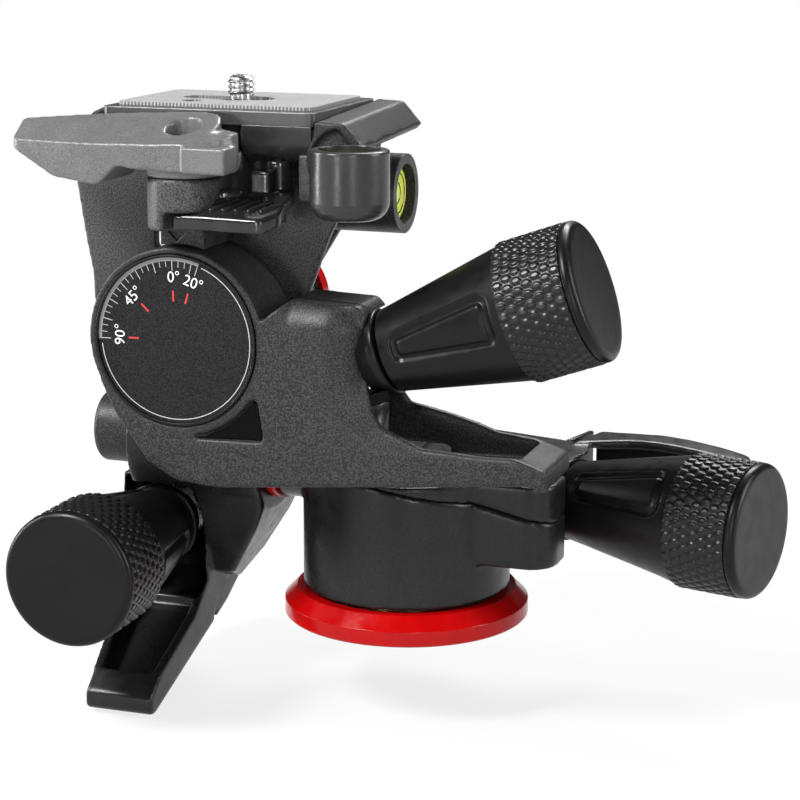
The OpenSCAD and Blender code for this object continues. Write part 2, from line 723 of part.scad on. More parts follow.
module dial_plate() {
    color("#3a3a3c") rod_y(shell_front + 0.4, shell_front + 1.38, dial_r, side_axis_x, side_axis_z);
}

module dial_bezel() {
    color("#202022") difference() {
        rod_y(shell_front - 0.2, shell_front + 1.38, cup_r - 1.62, side_axis_x, side_axis_z);
        rod_y(shell_front - 1, shell_front + 2, dial_r + 0.02, side_axis_x, side_axis_z);
    }
}

module tip_carriage() { tip_frame() carriage(tip_reach, tip_teeth); }
module tip_pivot_pin() { tip_frame() pivot_pin(tip_reach, -9.4, 9.6); }
module tip_clutch_spring() { tip_frame() clutch_spring(tip_reach); }
module tip_worm() { tip_frame() worm(tip_reach); }
module tip_knob() { tip_frame() knob(); }
module tip_grip() { tip_frame() grip(); }
module side_carriage() { side_frame() carriage(side_reach, side_teeth); }
module side_pivot_pin() { side_frame() pivot_pin(side_reach, -9.4, 8.6); }
module side_clutch_spring() { side_frame() clutch_spring(side_reach); }
module side_worm() { side_frame() worm(side_reach); }
module side_knob() { side_frame() knob(); }
module side_grip() { side_frame() grip(); }

// ---- Side tilt stage: the platform ----

// Outline of the front cheek
module front_cheek() {
    difference() {
        union() {
            translate([side_axis_x, side_axis_z]) circle(r = 27);
            polygon([[-64.5, 53], [-70.8, 61.5], [-72.7, 69], [-73.6, 84], [-75, 91], [-77.2, 105],
                [-74.5, 111], [-70, deck_top], [-12, deck_top], [-9.8, 108], [-10.4, 99.5],
                [-12.4, 95.5], [-14.4, 90.5], [-16.1, 85.7], [-18.4, 80]]);
        }
        polygon(rounded([[-56.4, 95.8], [-43.3, 96.2], [-43.2, 90], [-56.6, 90]], [1, 1, 1, 1]));
    }
}

module rear_cheek() {
    translate([side_axis_x, side_axis_z]) circle(r = 12);
    polygon([[-54, 78], [-55, 72], [-31, 72], [-32, 78], [-16, 104], [-12, deck_top], [-70, deck_top],
        [-72, 104]]);
}

module fork() {
    color("#323234") difference() {
        union() {
            along_y(cheek_front, cheek_front + cheek_t) front_cheek();
            along_y(cheek_back - cheek_t, cheek_back) rear_cheek();
            block([-74, cheek_front, deck_bottom], [-10, cheek_back, deck_top]);
            // boss that carries the lock lever and the catch
            block([-50, -31, 101], [-31.2, cheek_front + 1, deck_bottom]);
            translate([lever_x, lever_y, 98.4]) cylinder(h = 12, r = 8.6);
            block([lever_x - 8, lever_y, 101], [lever_x + 8, cheek_front + 1, 110.4]);
            block([-16, -31.4, 104.5], [-10.2, cheek_front + 1, deck_bottom]);
        }
        rod_y(cheek_front - 1, cheek_back + 1, 4.01, side_axis_x, side_axis_z);
        translate([lever_x, lever_y, 103.4]) cylinder(h = 20, r = 2.51);
        for (p = deck_screw_at) translate([p[0], p[1], 100]) cylinder(h = 30, r = 1.61);
        translate([lever_x, lever_y, 110.4]) cylinder(h = 20, r = 15.2);
        // recess of the catch in the lever's hub
        block([lever_x - 2, -60, 97], [lever_x + 20, lever_y + 1.5, 102.8]);
    }
}
level_at = [plate_right + 12.5, -42];
deck_screw_at = [[-62, -12], [-62, 12], [-22, -12], [-22, 12]];

module deck_screws() {
    color("silver") for (p = deck_screw_at) translate([p[0], p[1], deck_bottom - 2]) {
        cylinder(h = deck_top - deck_bottom + 3.4, r = 1.6);
        difference() {
            cylinder(h = 2, r = 3);
            translate([0, 0, -1]) cylinder(h = 2, r = 1.3, $fn = 6);
        }
    }
}

module side_shaft() {
    color("silver") union() {
        rod_y(-33.4, 27, 4, side_axis_x, side_axis_z);
        rod_y(-37.2, -33.2, 3, side_axis_x, side_axis_z);
    }
}

module side_wheel() {
    color("goldenrod") side_frame() wheel(side_teeth, side_reach, side_d, 4.01);
}

module index_block() {
    color("#2c2c2e") difference() {
        along_y(-38, cheek_front) polygon([[-47.2, 92], [-36.6, 92], [-36.6, 97.4], [-37.2, 98],
            [-46.6, 98], [-47.2, 97.4]]);
        rod_y(-39, -20, cup_r + 0.5, side_axis_x, side_axis_z);
        along_y(-39, -37) polygon([[-45.6, 97.2], [-40.8, 97.2], [-43.2, 94.8]]);
    }
}

// Receiver of the camera plate, between a jaw on its left and a sloping one on its right
module clamp_base() {
    left = plate_left - 0.3;
    right = plate_right + 0.3;
    color("#2b2b2d") difference() {
        union() {
            along_y(-27, 15) polygon([[left - 4.4, deck_top], [left - 5.3, 120.6], [left - 4.3, 122.4],
                [left - 0.8, 124], [left, 124], [left, 120.9], [right + 2.4, 120.9],
                [right + 2.4, deck_top]]);
            multmatrix([[1, 0, 0, 0], [0, 1, 0, 0], [0, 0.04, 1, 0.42], [0, 0, 0, 1]])
                along_y(-32, 11) polygon([[right, 119.8], [right, 123], [right + 0.6, 123.5],
                    [right + 7, 123.3], [right + 11.7, 118], [right + 10.4, 116.6], [right + 2.4, 116]]);
            // end wall beside the bubble cup
            along_y(-32, -28.6) polygon(concat(arc([right + 6.6, 113.6], 8.6, 190, 95, 10),
                [[right + 7, 122.4], [right + 11.4, 117.4], [right + 10, 110], [right + 4, 107.4],
                [right - 0.6, 108]]));
            // apron under the front of the plate
            translate([-30.4, 0, 0]) rotate([90, 0, 90]) linear_extrude(18.6) polygon([
                [-30.9, 120.7], [-30.6, 117], [-29.4, 114.6], [-27.4, 113.4], [-20.52, 113.4],
                [-20.52, 120.7]]);
        }
        block([-90, cheek_front, 100], [-10, cheek_back, deck_top]);
        block([-16.2, -31.5, 104], [-10, cheek_front, deck_bottom + 0.01]);
        along_y(-33, -30.8) polygon(concat(arc([right + 6.6, 113.6], 7.6, 190, 100, 8),
            [[right + 6, 121], [right + 9.4, 116.6], [right + 8.4, 111]]));
        for (p = deck_screw_at) translate([p[0], p[1], 110]) cylinder(h = 10.1, r = 1.61);
        translate([catch_at[0], catch_at[1], 100]) cylinder(h = 17, r = 1.51);
    }
}

// Cup of the bubble level, open at the top
module bubble_cup() {
    bottom = 102.6;
    top = 118.1;
    color("#2d2d2f") difference() {
        union() {
            translate([level_at[0], level_at[1], bottom]) rotate_extrude() polygon(concat([[0, 0]],
                arc([level_r - 4, 4], 4, -90, 0, 6), arc([level_r - 0.6, top - bottom - 0.6], 0.6,
                    0, 90, 3), [[0, top - bottom]]));
            block([level_at[0] - 9.2, -38, 106.5], [level_at[0] - 3.6, -32, 114.5]);
        }
        translate([level_at[0], level_at[1], 110]) cylinder(h = 10, r = level_r - 1.8);
    }
}

module bubble_vial() {
    color("greenyellow", 0.7) translate([level_at[0], level_at[1], 110]) cylinder(h = 6, r = level_r - 1.85);
}

// Housing of the tube level, which lies from left to right
module tube_level() {
    color("#2d2d2f") difference() {
        union() {
            rod_x(-23, -3, tube_r, 7, 102.2);
            block([-19.5, 0, 102], [-12, 8, deck_bottom - thin]);
            block([-22, 7, 98], [-16, cheek_back - cheek_t - thin, 112]);
        }
        rod_x(-20, 0, tube_r - 2.4, 7, 102.2);
    }
}

module tube_vial() {
    color("greenyellow", 0.7) rod_x(-20, -5, tube_r - 2.45, 7, 102.2);
}

// ---- Lock lever and catch ----

module lever_pin() {
    color("silver") translate([lever_x, lever_y, 103.4]) cylinder(h = 15.2, r = 2.5);
}

// Lever with a crease along its front and a top that rises towards the plate
module lock_lever() {
    color("gray") difference() {
        union() {
            intersection() {
                multmatrix([[1, 0, 0, 0], [0, 1, 0, 0], [0.045, 0, 1, 2.7], [0, 0, 0, 1]])
                    translate([-90, 0, 0]) rotate([90, 0, 90]) linear_extrude(70) polygon([
                        [-52, 90], [-52, 117.2], [-49.6, 117.4], [-47, 118], [-36, 122.2],
                        [-31.6, 123.2], [-31.6, 90]]);
                along_y(-60, -20) polygon(rounded([[-83.2, 130], [-83.2, 117.8], [-80.4, 115.4],
                    [-69.8, 109.6], [-59, 108.4], [-57.2, 108.9], [-52.9, 113], [-49.5, 112.4],
                    [-26.4, 111.8], [-26.4, 130]], [0, 1, 3, 3, 1.5, 1, 2, 1, 0, 0]));
                translate([0, 0, 100]) linear_extrude(30) polygon(rounded([[-83, -34.5],
                    [-80.6, -45.4], [-60, -48.2], [-44, -49.4], [-36, -49.4], [-28.4, -46.8],
                    [-26.6, -43.6], [-27, -39.4], [-33.4, -32.8], [-40, -31.6], [-60, -31.6]],
                    [1.5, 2.5, 6, 4, 4, 3, 1.5, 2, 3, 2, 6]));
            }
            translate([lever_x, lever_y, 110.5]) cylinder(h = 6, r = 8.6);
            block([-36.4, -50.4, 111.9], [-26, -43, 117.8]);
        }
        translate([lever_x, lever_y, 100]) cylinder(h = 30, r = 2.5 + running);
        translate([lever_x, lever_y, 118]) cylinder(h = 10, r = 4.1);
        // clearance under the camera plate as the lever opens
        difference() {
            block([lever_x, -60, 120.4], [-20, -20, 130]);
            translate([lever_x, lever_y, 110]) cylinder(h = 30, r = 8.3);
        }
    }
}

// Retaining clip on the lever's pin
module lever_clip() {
    color("silver") difference() {
        translate([lever_x, lever_y, 118.05]) cylinder(h = 0.8, r = 3.9);
        translate([lever_x, lever_y, 117]) cylinder(h = 3, r = 2.51);
    }
}

catch_at = [-22, -27.6];

module catch_pin() {
    color("silver") translate([catch_at[0], catch_at[1], 99]) cylinder(h = 17.6, r = 1.5);
}

module safety_catch() {
    color("#333335") difference() {
        union() {
            translate([0, 0, 99]) linear_extrude(3.3) polygon(rounded([[-40.2, -47.6],
                [-18.4, -48.4], [-15.4, -44.6], [-16, -36], [-19, -25], [-25, -25], [-27, -36],
                [-31.4, -38.6], [-40.6, -42]], [1.5, 2, 2, 3, 2.5, 2.5, 3, 2, 1]));
            translate([catch_at[0], catch_at[1], 99]) cylinder(h = 14.2, r = 3);
            block([-25.4, -37, 99], [-21, -31.5, 111.6]);
        }
        translate([catch_at[0], catch_at[1], 98]) cylinder(h = 20, r = 1.5 + running);
    }
}

// ---- Camera plate ----

module camera_plate() {
    right = plate_right;
    back = plate_front + plate_w;
    color("#3c3c3e") difference() {
        union() {
            translate([0, 0, plate_top - 3]) linear_extrude(3) polygon(rounded(
                [[plate_left, plate_front], [right, plate_front], [right, back], [plate_left, back]],
                [2, 2, 2, 2]));
            block([-60, plate_front + 2, plate_top - 3.46], [-17, back - 2, plate_top - 1]);
        }
        translate([plate_mid[0], plate_mid[1], 115]) cylinder(h = 20, r = camera_neck_r + running);
        translate([plate_mid[0], plate_mid[1], 115]) cylinder(h = plate_top - 117, r = 7.6);
    }
}

module plate_pad() {
    right = plate_right - 2;
    back = plate_front + plate_w - 4;
    color("dimgray") difference() {
        translate([0, 0, plate_top]) linear_extrude(pad_t) polygon(rounded(
            [[plate_left + 2, plate_front + 4], [right, plate_front + 4], [right, back],
                [plate_left + 2, back]], [1.5, 1.5, 1.5, 1.5]));
        translate([plate_mid[0], plate_mid[1], plate_top - 1]) cylinder(h = 3, r = 6);
    }
}

module camera_screw() {
    color("silver") translate([plate_mid[0], plate_mid[1], 0]) union() {
        // thinner neck, which keeps the screw in the plate
        translate([0, 0, plate_top - 2.5]) cylinder(h = pad_t + 3, r = camera_neck_r);
        translate([0, 0, plate_top + pad_t + 0.1]) cylinder(h = camera_screw_h - 0.1, r = camera_thread_r);
        translate([0, 0, plate_top - 3.4]) difference() {
            cylinder(h = 1.4, r = 7);
            translate([-8, -0.8, -1]) cube([16, 1.6, 1.8]);
        }
    }
}

// ---- The whole head ----

base_ring();
base_hub();
tripod_bush();
pan_wheel();
base_screws();
pan_lower_shell();
pan_upper_shell();
pan_bearing();
pan_retainer();
tip_shaft();
tip_wheel();
tip_ring();
tip_nut();
pan_carriage();
pan_pivot_pin();
pan_clutch_spring();
pan_worm();
pan_knob();
pan_grip();
tilt_shell();
tilt_shell_cover();
tilt_cradle();
tip_end_cap();
side_ear_ring();
dial_plate();
dial_bezel();
shell_screws();
tip_carriage();
tip_pivot_pin();
tip_clutch_spring();
tip_worm();
tip_knob();
tip_grip();
side_carriage();
side_pivot_pin();
side_clutch_spring();
side_worm();
side_knob();
side_grip();
fork();
side_shaft();
side_wheel();
index_block();
clamp_base();
deck_screws();
bubble_cup();
bubble_vial();
tube_level();
tube_vial();
lever_pin();
lock_lever();
lever_clip();
catch_pin();
safety_catch();
camera_plate();
plate_pad();
camera_screw();
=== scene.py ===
"""Looks of a geared tripod head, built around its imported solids.

The solids carry the shapes and the motion. This script adds the finishes, the dial's markings, the
knurled grips, the dented knob cones, the screw's thread, the ribbed pad, the vials and the springs.
"""

import json
import logging
import math
from dataclasses import dataclass, field
from enum import Enum

import bmesh
import bpy
from mathutils import Matrix, Vector

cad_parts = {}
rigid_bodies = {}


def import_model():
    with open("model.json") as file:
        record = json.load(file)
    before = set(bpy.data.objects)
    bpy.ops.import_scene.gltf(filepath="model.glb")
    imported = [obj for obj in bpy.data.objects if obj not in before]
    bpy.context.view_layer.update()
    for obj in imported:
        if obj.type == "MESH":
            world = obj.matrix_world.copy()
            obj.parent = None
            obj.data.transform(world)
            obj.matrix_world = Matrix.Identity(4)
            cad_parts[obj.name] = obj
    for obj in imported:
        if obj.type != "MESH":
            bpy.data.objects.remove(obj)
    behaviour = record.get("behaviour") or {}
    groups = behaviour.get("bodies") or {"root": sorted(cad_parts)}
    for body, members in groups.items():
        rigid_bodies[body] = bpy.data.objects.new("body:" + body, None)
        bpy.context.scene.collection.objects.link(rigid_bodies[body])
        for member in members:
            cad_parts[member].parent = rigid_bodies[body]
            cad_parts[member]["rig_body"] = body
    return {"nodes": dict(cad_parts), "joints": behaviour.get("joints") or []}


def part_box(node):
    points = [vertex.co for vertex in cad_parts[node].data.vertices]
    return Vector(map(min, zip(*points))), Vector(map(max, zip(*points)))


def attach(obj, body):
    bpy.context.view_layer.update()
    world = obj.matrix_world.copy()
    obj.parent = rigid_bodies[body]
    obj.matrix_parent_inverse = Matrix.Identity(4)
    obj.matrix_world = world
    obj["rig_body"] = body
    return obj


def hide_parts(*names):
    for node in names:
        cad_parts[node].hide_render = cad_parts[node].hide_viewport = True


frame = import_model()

Colour = tuple[float, float, float]
Point = tuple[float, float, float]
Profile = list[tuple[float, float]]
Socket = bpy.types.NodeSocket
MM = 0.001
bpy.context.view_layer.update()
log = logging.getLogger("tripod_head")


# ---- Finishes ----


class Wires:
    """The shader nodes of one material, and the links between them."""

    def __init__(self, name: str) -> None:
        """Starts an empty material with a surface shader, reading object coordinates.

        Args:
            name: the material's name.
        """
        self.material = bpy.data.materials.new(name)
        self.material.use_nodes = True
        self.tree = self.material.node_tree
        self.tree.nodes.clear()
        self.shader = self.add("ShaderNodeBsdfPrincipled")
        out = self.add("ShaderNodeOutputMaterial")
        self.join(self.shader.outputs["BSDF"], out.inputs["Surface"])
        self.place = self.add("ShaderNodeTexCoord").outputs["Object"]

    def add(self, kind: str, **settings: object) -> bpy.types.Node:
        """Adds a node.

        Args:
            kind: the node's Blender type.
            settings: attributes to set on it.

        Returns:
            The new node.
        """
        node = self.tree.nodes.new(kind)
        for name, value in settings.items():
            setattr(node, name, value)
        return node

    def join(self, source: Socket, target: Socket) -> None:
        """Links an output to an input."""
        self.tree.links.new(source, target)

    def noise(self, size: float, detail: float = 2.0, stretch: Point = (1, 1, 1)) -> Socket:
        """Adds a noise pattern on object coordinates.

        Args:
            size: the size of its blotches in millimetres.
            detail: the number of finer octaves.
            stretch: how many times the pattern is finer along X, Y and Z.

        Returns:
            The noise's factor output.
        """
        mapping = self.add("ShaderNodeMapping")
        mapping.inputs["Scale"].default_value = stretch
        self.join(self.place, mapping.inputs["Vector"])
        noise = self.add("ShaderNodeTexNoise")
        noise.inputs["Scale"].default_value = 1 / (size * MM)
        noise.inputs["Detail"].default_value = detail
        self.join(mapping.outputs["Vector"], noise.inputs["Vector"])
        return noise.outputs["Fac"]

    def span(self, value: Socket, source: tuple[float, float], target: tuple[float, float]) -> Socket:
        """Maps a value from one range to another, clamped.

        Args:
            value: the output to map.
            source: its low and high values.
            target: what they become.

        Returns:
            The mapped output.
        """
        node = self.add("ShaderNodeMapRange")
        for name, number in zip(("From Min", "From Max", "To Min", "To Max"), source + target):
            node.inputs[name].default_value = number
        self.join(value, node.inputs["Value"])
        return node.outputs["Result"]

    def sum(self, how: str, a: Socket, b: Socket | float) -> Socket:
        """Does one sum on two values.

        Args:
            how: the Math node's operation.
            a: the first value.
            b: the second, an output or a number.

        Returns:
            The result's output.
        """
        node = self.add("ShaderNodeMath", operation=how)
        self.join(a, node.inputs[0])
        if isinstance(b, Socket):
            self.join(b, node.inputs[1])
        else:
            node.inputs[1].default_value = b
        return node.outputs[0]

    def blend(self, share: Socket, a: Socket | Colour, b: Socket | Colour) -> Socket:
        """Mixes two colours.

        Args:
            share: how much of the second shows.
            a: the first colour or an output.
            b: the second colour or an output.

        Returns:
            The mixed colour's output.
        """
        node = self.add("ShaderNodeMix", data_type="RGBA")
        self.join(share, node.inputs[0])
        for socket, value in ((node.inputs[6], a), (node.inputs[7], b)):
            if isinstance(value, Socket):
                self.join(value, socket)
            else:
                socket.default_value = (*value, 1)
        return node.outputs[2]

    def soft_edges(self, radius: float) -> Socket:
        """Adds normals that round the edges.

        Args:
            radius: the rounding in millimetres.

        Returns:
            The rounded normal.
        """
        bevel = self.add("ShaderNodeBevel", samples=6)
        bevel.inputs["Radius"].default_value = radius * MM
        return bevel.outputs["Normal"]

    def edges(self, normal: Socket) -> Socket:
        """Finds the edges, from how far the rounded normal turns from the face's own.

        Args:
            normal: the rounded normal.

        Returns:
            0 on faces and up to 1 along edges.
        """
        dot = self.add("ShaderNodeVectorMath", operation="DOT_PRODUCT")
        self.join(normal, dot.inputs[0])
        self.join(self.add("ShaderNodeNewGeometry").outputs["Normal"], dot.inputs[1])
        return self.span(dot.outputs["Value"], (0.99, 0.82), (0.0, 1.0))

    def relief(self, height: Socket, depth: float, normal: Socket | None, strength: float = 1.0) -> None:
        """Sets the surface's relief.

        Args:
            height: the relief's height from 0 to 1.
            depth: what a height of 1 stands for, in millimetres.
            normal: the normal that the relief is added to.
            strength: how much of it shows.
        """
        bump = self.add("ShaderNodeBump")
        bump.inputs["Strength"].default_value = strength
        bump.inputs["Distance"].default_value = depth * MM
        self.join(height, bump.inputs["Height"])
        if normal is not None:
            self.join(normal, bump.inputs["Normal"])
        self.join(bump.outputs["Normal"], self.shader.inputs["Normal"])

    def plain(self, **sockets: object) -> None:
        """Sets constant values on the surface shader's own sockets."""
        for name, value in sockets.items():
            self.shader.inputs[name.replace("_", " ")].default_value = value


@dataclass(frozen=True)
class Grained:
    """A moulded, painted or coated surface with a fine grain and rubbed edges."""

    name: str
    colour: Colour
    grain: float = 0.35
    speck: float = 0.35
    depth: float = 0.03
    roughness: float = 0.45
    rounding: float = 0.45
    rub: float = 0.5
    rub_colour: Colour = (0.16, 0.16, 0.162)
    specular: float = 0.5
    mottle: float = 14.0
    streak: float = 3.5
    contrast: float = 0.65

    def make(self) -> bpy.types.Material:
        """Builds the material.

        Returns:
            The new material.
        """
        w = Wires(self.name)
        grain = w.noise(self.grain, 3)
        mottle = w.noise(self.mottle, 4)
        streak = w.noise(self.streak, 5)
        specks = w.span(grain, (0.38, 0.66), (1 - self.speck, 1 + self.speck))
        shade = w.sum("MULTIPLY", specks, w.span(mottle, (0.3, 0.7), (0.9, 1.1)))
        ends = (1 - self.contrast, 1 + self.contrast)
        low, high = (tuple(c * share for c in self.colour) for share in ends)
        body = w.blend(w.span(shade, ends, (0, 1)), low, high)
        normal = w.soft_edges(self.rounding)
        worn = w.sum("MULTIPLY", w.edges(normal), w.span(streak, (0.35, 0.65), (0.25, 1)))
        worn = w.sum("MULTIPLY", worn, self.rub)
        w.join(w.blend(worn, body, self.rub_colour), w.shader.inputs["Base Color"])
        rough = w.sum("ADD", w.span(streak, (0.3, 0.7), (-0.05, 0.07)), w.span(
            grain, (0.3, 0.7), (self.roughness + 0.04, self.roughness - 0.04)))
        w.join(w.sum("SUBTRACT", rough, w.sum("MULTIPLY", worn, 0.12)), w.shader.inputs["Roughness"])
        w.plain(Specular_IOR_Level=self.specular)
        w.relief(grain, self.depth, normal)
        return w.material


@dataclass(frozen=True)
class Metal:
    """Bare metal with fine machining lines."""

    name: str
    colour: Colour
    roughness: float = 0.28
    stretch: Colour = (1, 1, 12)
    rounding: float = 0.15

    def make(self) -> bpy.types.Material:
        """Builds the material.

        Returns:
            The new material.
        """
        w = Wires(self.name)
        lines = w.noise(0.7, 3, self.stretch)
        dull = w.noise(2.5, 4)
        dark = tuple(c * 0.72 for c in self.colour)
        w.join(w.blend(w.span(dull, (0.3, 0.7), (0, 1)), dark, self.colour), w.shader.inputs["Base Color"])
        w.join(w.span(lines, (0.3, 0.7), (self.roughness - 0.06, self.roughness + 0.1)),
               w.shader.inputs["Roughness"])
        w.plain(Metallic=1.0)
        w.relief(lines, 0.006, w.soft_edges(self.rounding), 0.6)
        return w.material


@dataclass(frozen=True)
class Ribbed:
    """Grey rubber moulded with fine crossing ribs, with painted light on their tops and painted shade in
    their valleys.
    """

    name: str
    colour: Colour
    spacing: float = 0.62

    def make(self) -> bpy.types.Material:
        """Builds the material.

        Returns:
            The new material.
        """
        w = Wires(self.name)
        heights = []
        for turn in (math.radians(45), math.radians(-45)):
            mapping = w.add("ShaderNodeMapping")
            mapping.inputs["Rotation"].default_value = (0, 0, turn)
            w.join(w.place, mapping.inputs["Vector"])
            wave = w.add("ShaderNodeTexWave", wave_type="BANDS", bands_direction="X", wave_profile="SIN")
            wave.inputs["Scale"].default_value = math.tau / 20 / (self.spacing * MM)
            wave.inputs["Distortion"].default_value = 0.0
            w.join(mapping.outputs["Vector"], wave.inputs["Vector"])
            heights.append(wave.outputs["Fac"])
        knobs = w.sum("MULTIPLY", heights[0], heights[1])
        dust = w.noise(1.6, 5)
        # the rib tops are painted lighter and the valleys darker: painted light and shade on the ribs
        body = w.blend(w.span(knobs, (0.05, 0.75), (0, 1)), tuple(c * 0.42 for c in self.colour),
                       tuple(c * 1.25 for c in self.colour))
        w.join(w.blend(w.span(dust, (0.5, 0.8), (0, 0.25)), body, (0.4, 0.4, 0.41)),
               w.shader.inputs["Base Color"])
        w.join(w.span(dust, (0.3, 0.7), (0.55, 0.72)), w.shader.inputs["Roughness"])
        w.relief(knobs, 0.12, w.soft_edges(0.2))
        return w.material


@dataclass(frozen=True)
class Printed:
    """A thin layer of printing ink."""

    name: str
    colour: Colour

    def make(self) -> bpy.types.Material:
        """Builds the material.

        Returns:
            The new material.
        """
        w = Wires(self.name)
        patch = w.noise(0.5, 4)
        thin = tuple(c * 0.86 for c in self.colour)
        w.join(w.blend(w.span(patch, (0.35, 0.65), (0, 1)), thin, self.colour),
               w.shader.inputs["Base Color"])
        w.join(w.span(patch, (0.3, 0.7), (0.42, 0.55)), w.shader.inputs["Roughness"])
        w.relief(patch, 0.004, None, 0.5)
        return w.material


@dataclass(frozen=True)
class Clear:
    """Tinted clear plastic or the liquid in it."""

    name: str
    colour: Colour
    through: float
    roughness: float = 0.06

    def make(self) -> bpy.types.Material:
        """Builds the material.

        Returns:
            The new material.
        """
        w = Wires(self.name)
        swirl = w.noise(2.2, 2)
        pale = tuple(min(1, c * 1.12) for c in self.colour)
        w.join(w.blend(w.span(swirl, (0.3, 0.7), (0, 1)), self.colour, pale), w.shader.inputs["Base Color"])
        w.join(w.span(swirl, (0.3, 0.7), (self.roughness, self.roughness + 0.04)),
               w.shader.inputs["Roughness"])
        w.plain(IOR=1.46, Transmission_Weight=self.through)
        w.relief(swirl, 0.004, None, 0.3)
        return w.material


class Finish(Enum):
    """The head's finishes."""

    SHELL = Grained("textured_polymer", (0.023, 0.023, 0.0238), grain=0.36, speck=0.95, depth=0.06,
                    roughness=0.4, rub=0.35, specular=0.24)
    # the shell's polymer made lighter: painted light, because the fork catches more light than the shell
    FORK = Grained("fork_polymer_painted_light", (0.042, 0.042, 0.043), grain=0.36, speck=0.8, depth=0.05,
                   roughness=0.4, rub=0.35, specular=0.3)
    CASTING = Grained("powder_coat", (0.009, 0.009, 0.0095), grain=0.42, speck=0.45, depth=0.022,
                      roughness=0.31, rounding=0.6, rub=0.35, specular=0.3)
    KNOB = Grained("satin_black", (0.0045, 0.0045, 0.0048), grain=0.25, speck=0.12, depth=0.004,
                   roughness=0.33, rounding=0.3, rub=0.1, specular=0.18)
    RUBBER = Grained("grip_rubber", (0.009, 0.009, 0.0094), grain=0.2, speck=0.2, depth=0.008,
                     roughness=0.3, rounding=0.1, rub=0.1, specular=0.26)
    RED = Grained("glossy_red", (0.33, 0.001, 0.0015), grain=1.1, speck=0.05, depth=0.004, roughness=0.18,
                  rounding=0.35, rub=0.12, rub_colour=(0.6, 0.06, 0.05), specular=0.2)
    LEVER = Grained("lever_enamel", (0.1, 0.1, 0.101), grain=0.3, speck=0.3, depth=0.03,
                    roughness=0.34, rounding=0.5, rub=0.3, rub_colour=(0.28, 0.28, 0.285))
    PLATE = Grained("anodised_plate", (0.035, 0.035, 0.036), grain=0.22, speck=0.2, depth=0.01,
                    roughness=0.32, rounding=0.4, rub=1.0, rub_colour=(0.5, 0.5, 0.51))
    DIAL = Grained("dial_face", (0.01, 0.01, 0.0106), grain=0.28, speck=1.1, depth=0.06, roughness=0.48,
                   rounding=0.1, rub=0.2, specular=0.16)
    # near-black and matte: painted shade, used for the window under the dial and for the carriages
    RECESS = Grained("painted_shade_black", (0.003, 0.003, 0.003), roughness=0.75, rub=0.0, specular=0.05)
    GLOSS = Grained("gloss_black", (0.012, 0.012, 0.0125), grain=0.9, speck=0.08, depth=0.004,
                    roughness=0.16, rounding=0.4, rub=0.2)
    CUP = Grained("satin_cup", (0.018, 0.018, 0.019), grain=0.3, speck=0.3, depth=0.01, roughness=0.27,
                  rounding=0.4, rub=0.3, specular=0.42)
    STEEL = Metal("ground_steel", (0.62, 0.62, 0.63))
    GEAR = Metal("blackened_gear", (0.12, 0.12, 0.122), 0.4)
    ALLOY = Metal("turned_alloy", (0.55, 0.55, 0.56), 0.35)
    BRASS = Metal("turned_brass", (0.75, 0.55, 0.26), 0.26)
    PAD = Ribbed("ribbed_rubber", (0.3, 0.3, 0.304))
    WHITE = Printed("white_ink", (0.75, 0.75, 0.76))
    LINE = Printed("line_ink", (0.42, 0.42, 0.425))
    GREY = Printed("grey_ink", (0.2, 0.2, 0.205))
    RED_INK = Printed("red_ink", (0.5, 0.02, 0.025))
    LIQUID = Clear("vial_liquid", (0.72, 0.8, 0.1), 0.35)
    BUBBLE = Clear("vial_bubble", (0.93, 0.96, 0.75), 0.6)

    def material(self) -> bpy.types.Material:
        """Gives this finish's material, built the first time it is asked for."""
        return bpy.data.materials.get(self.value.name) or self.value.make()


# ---- Shaping ----


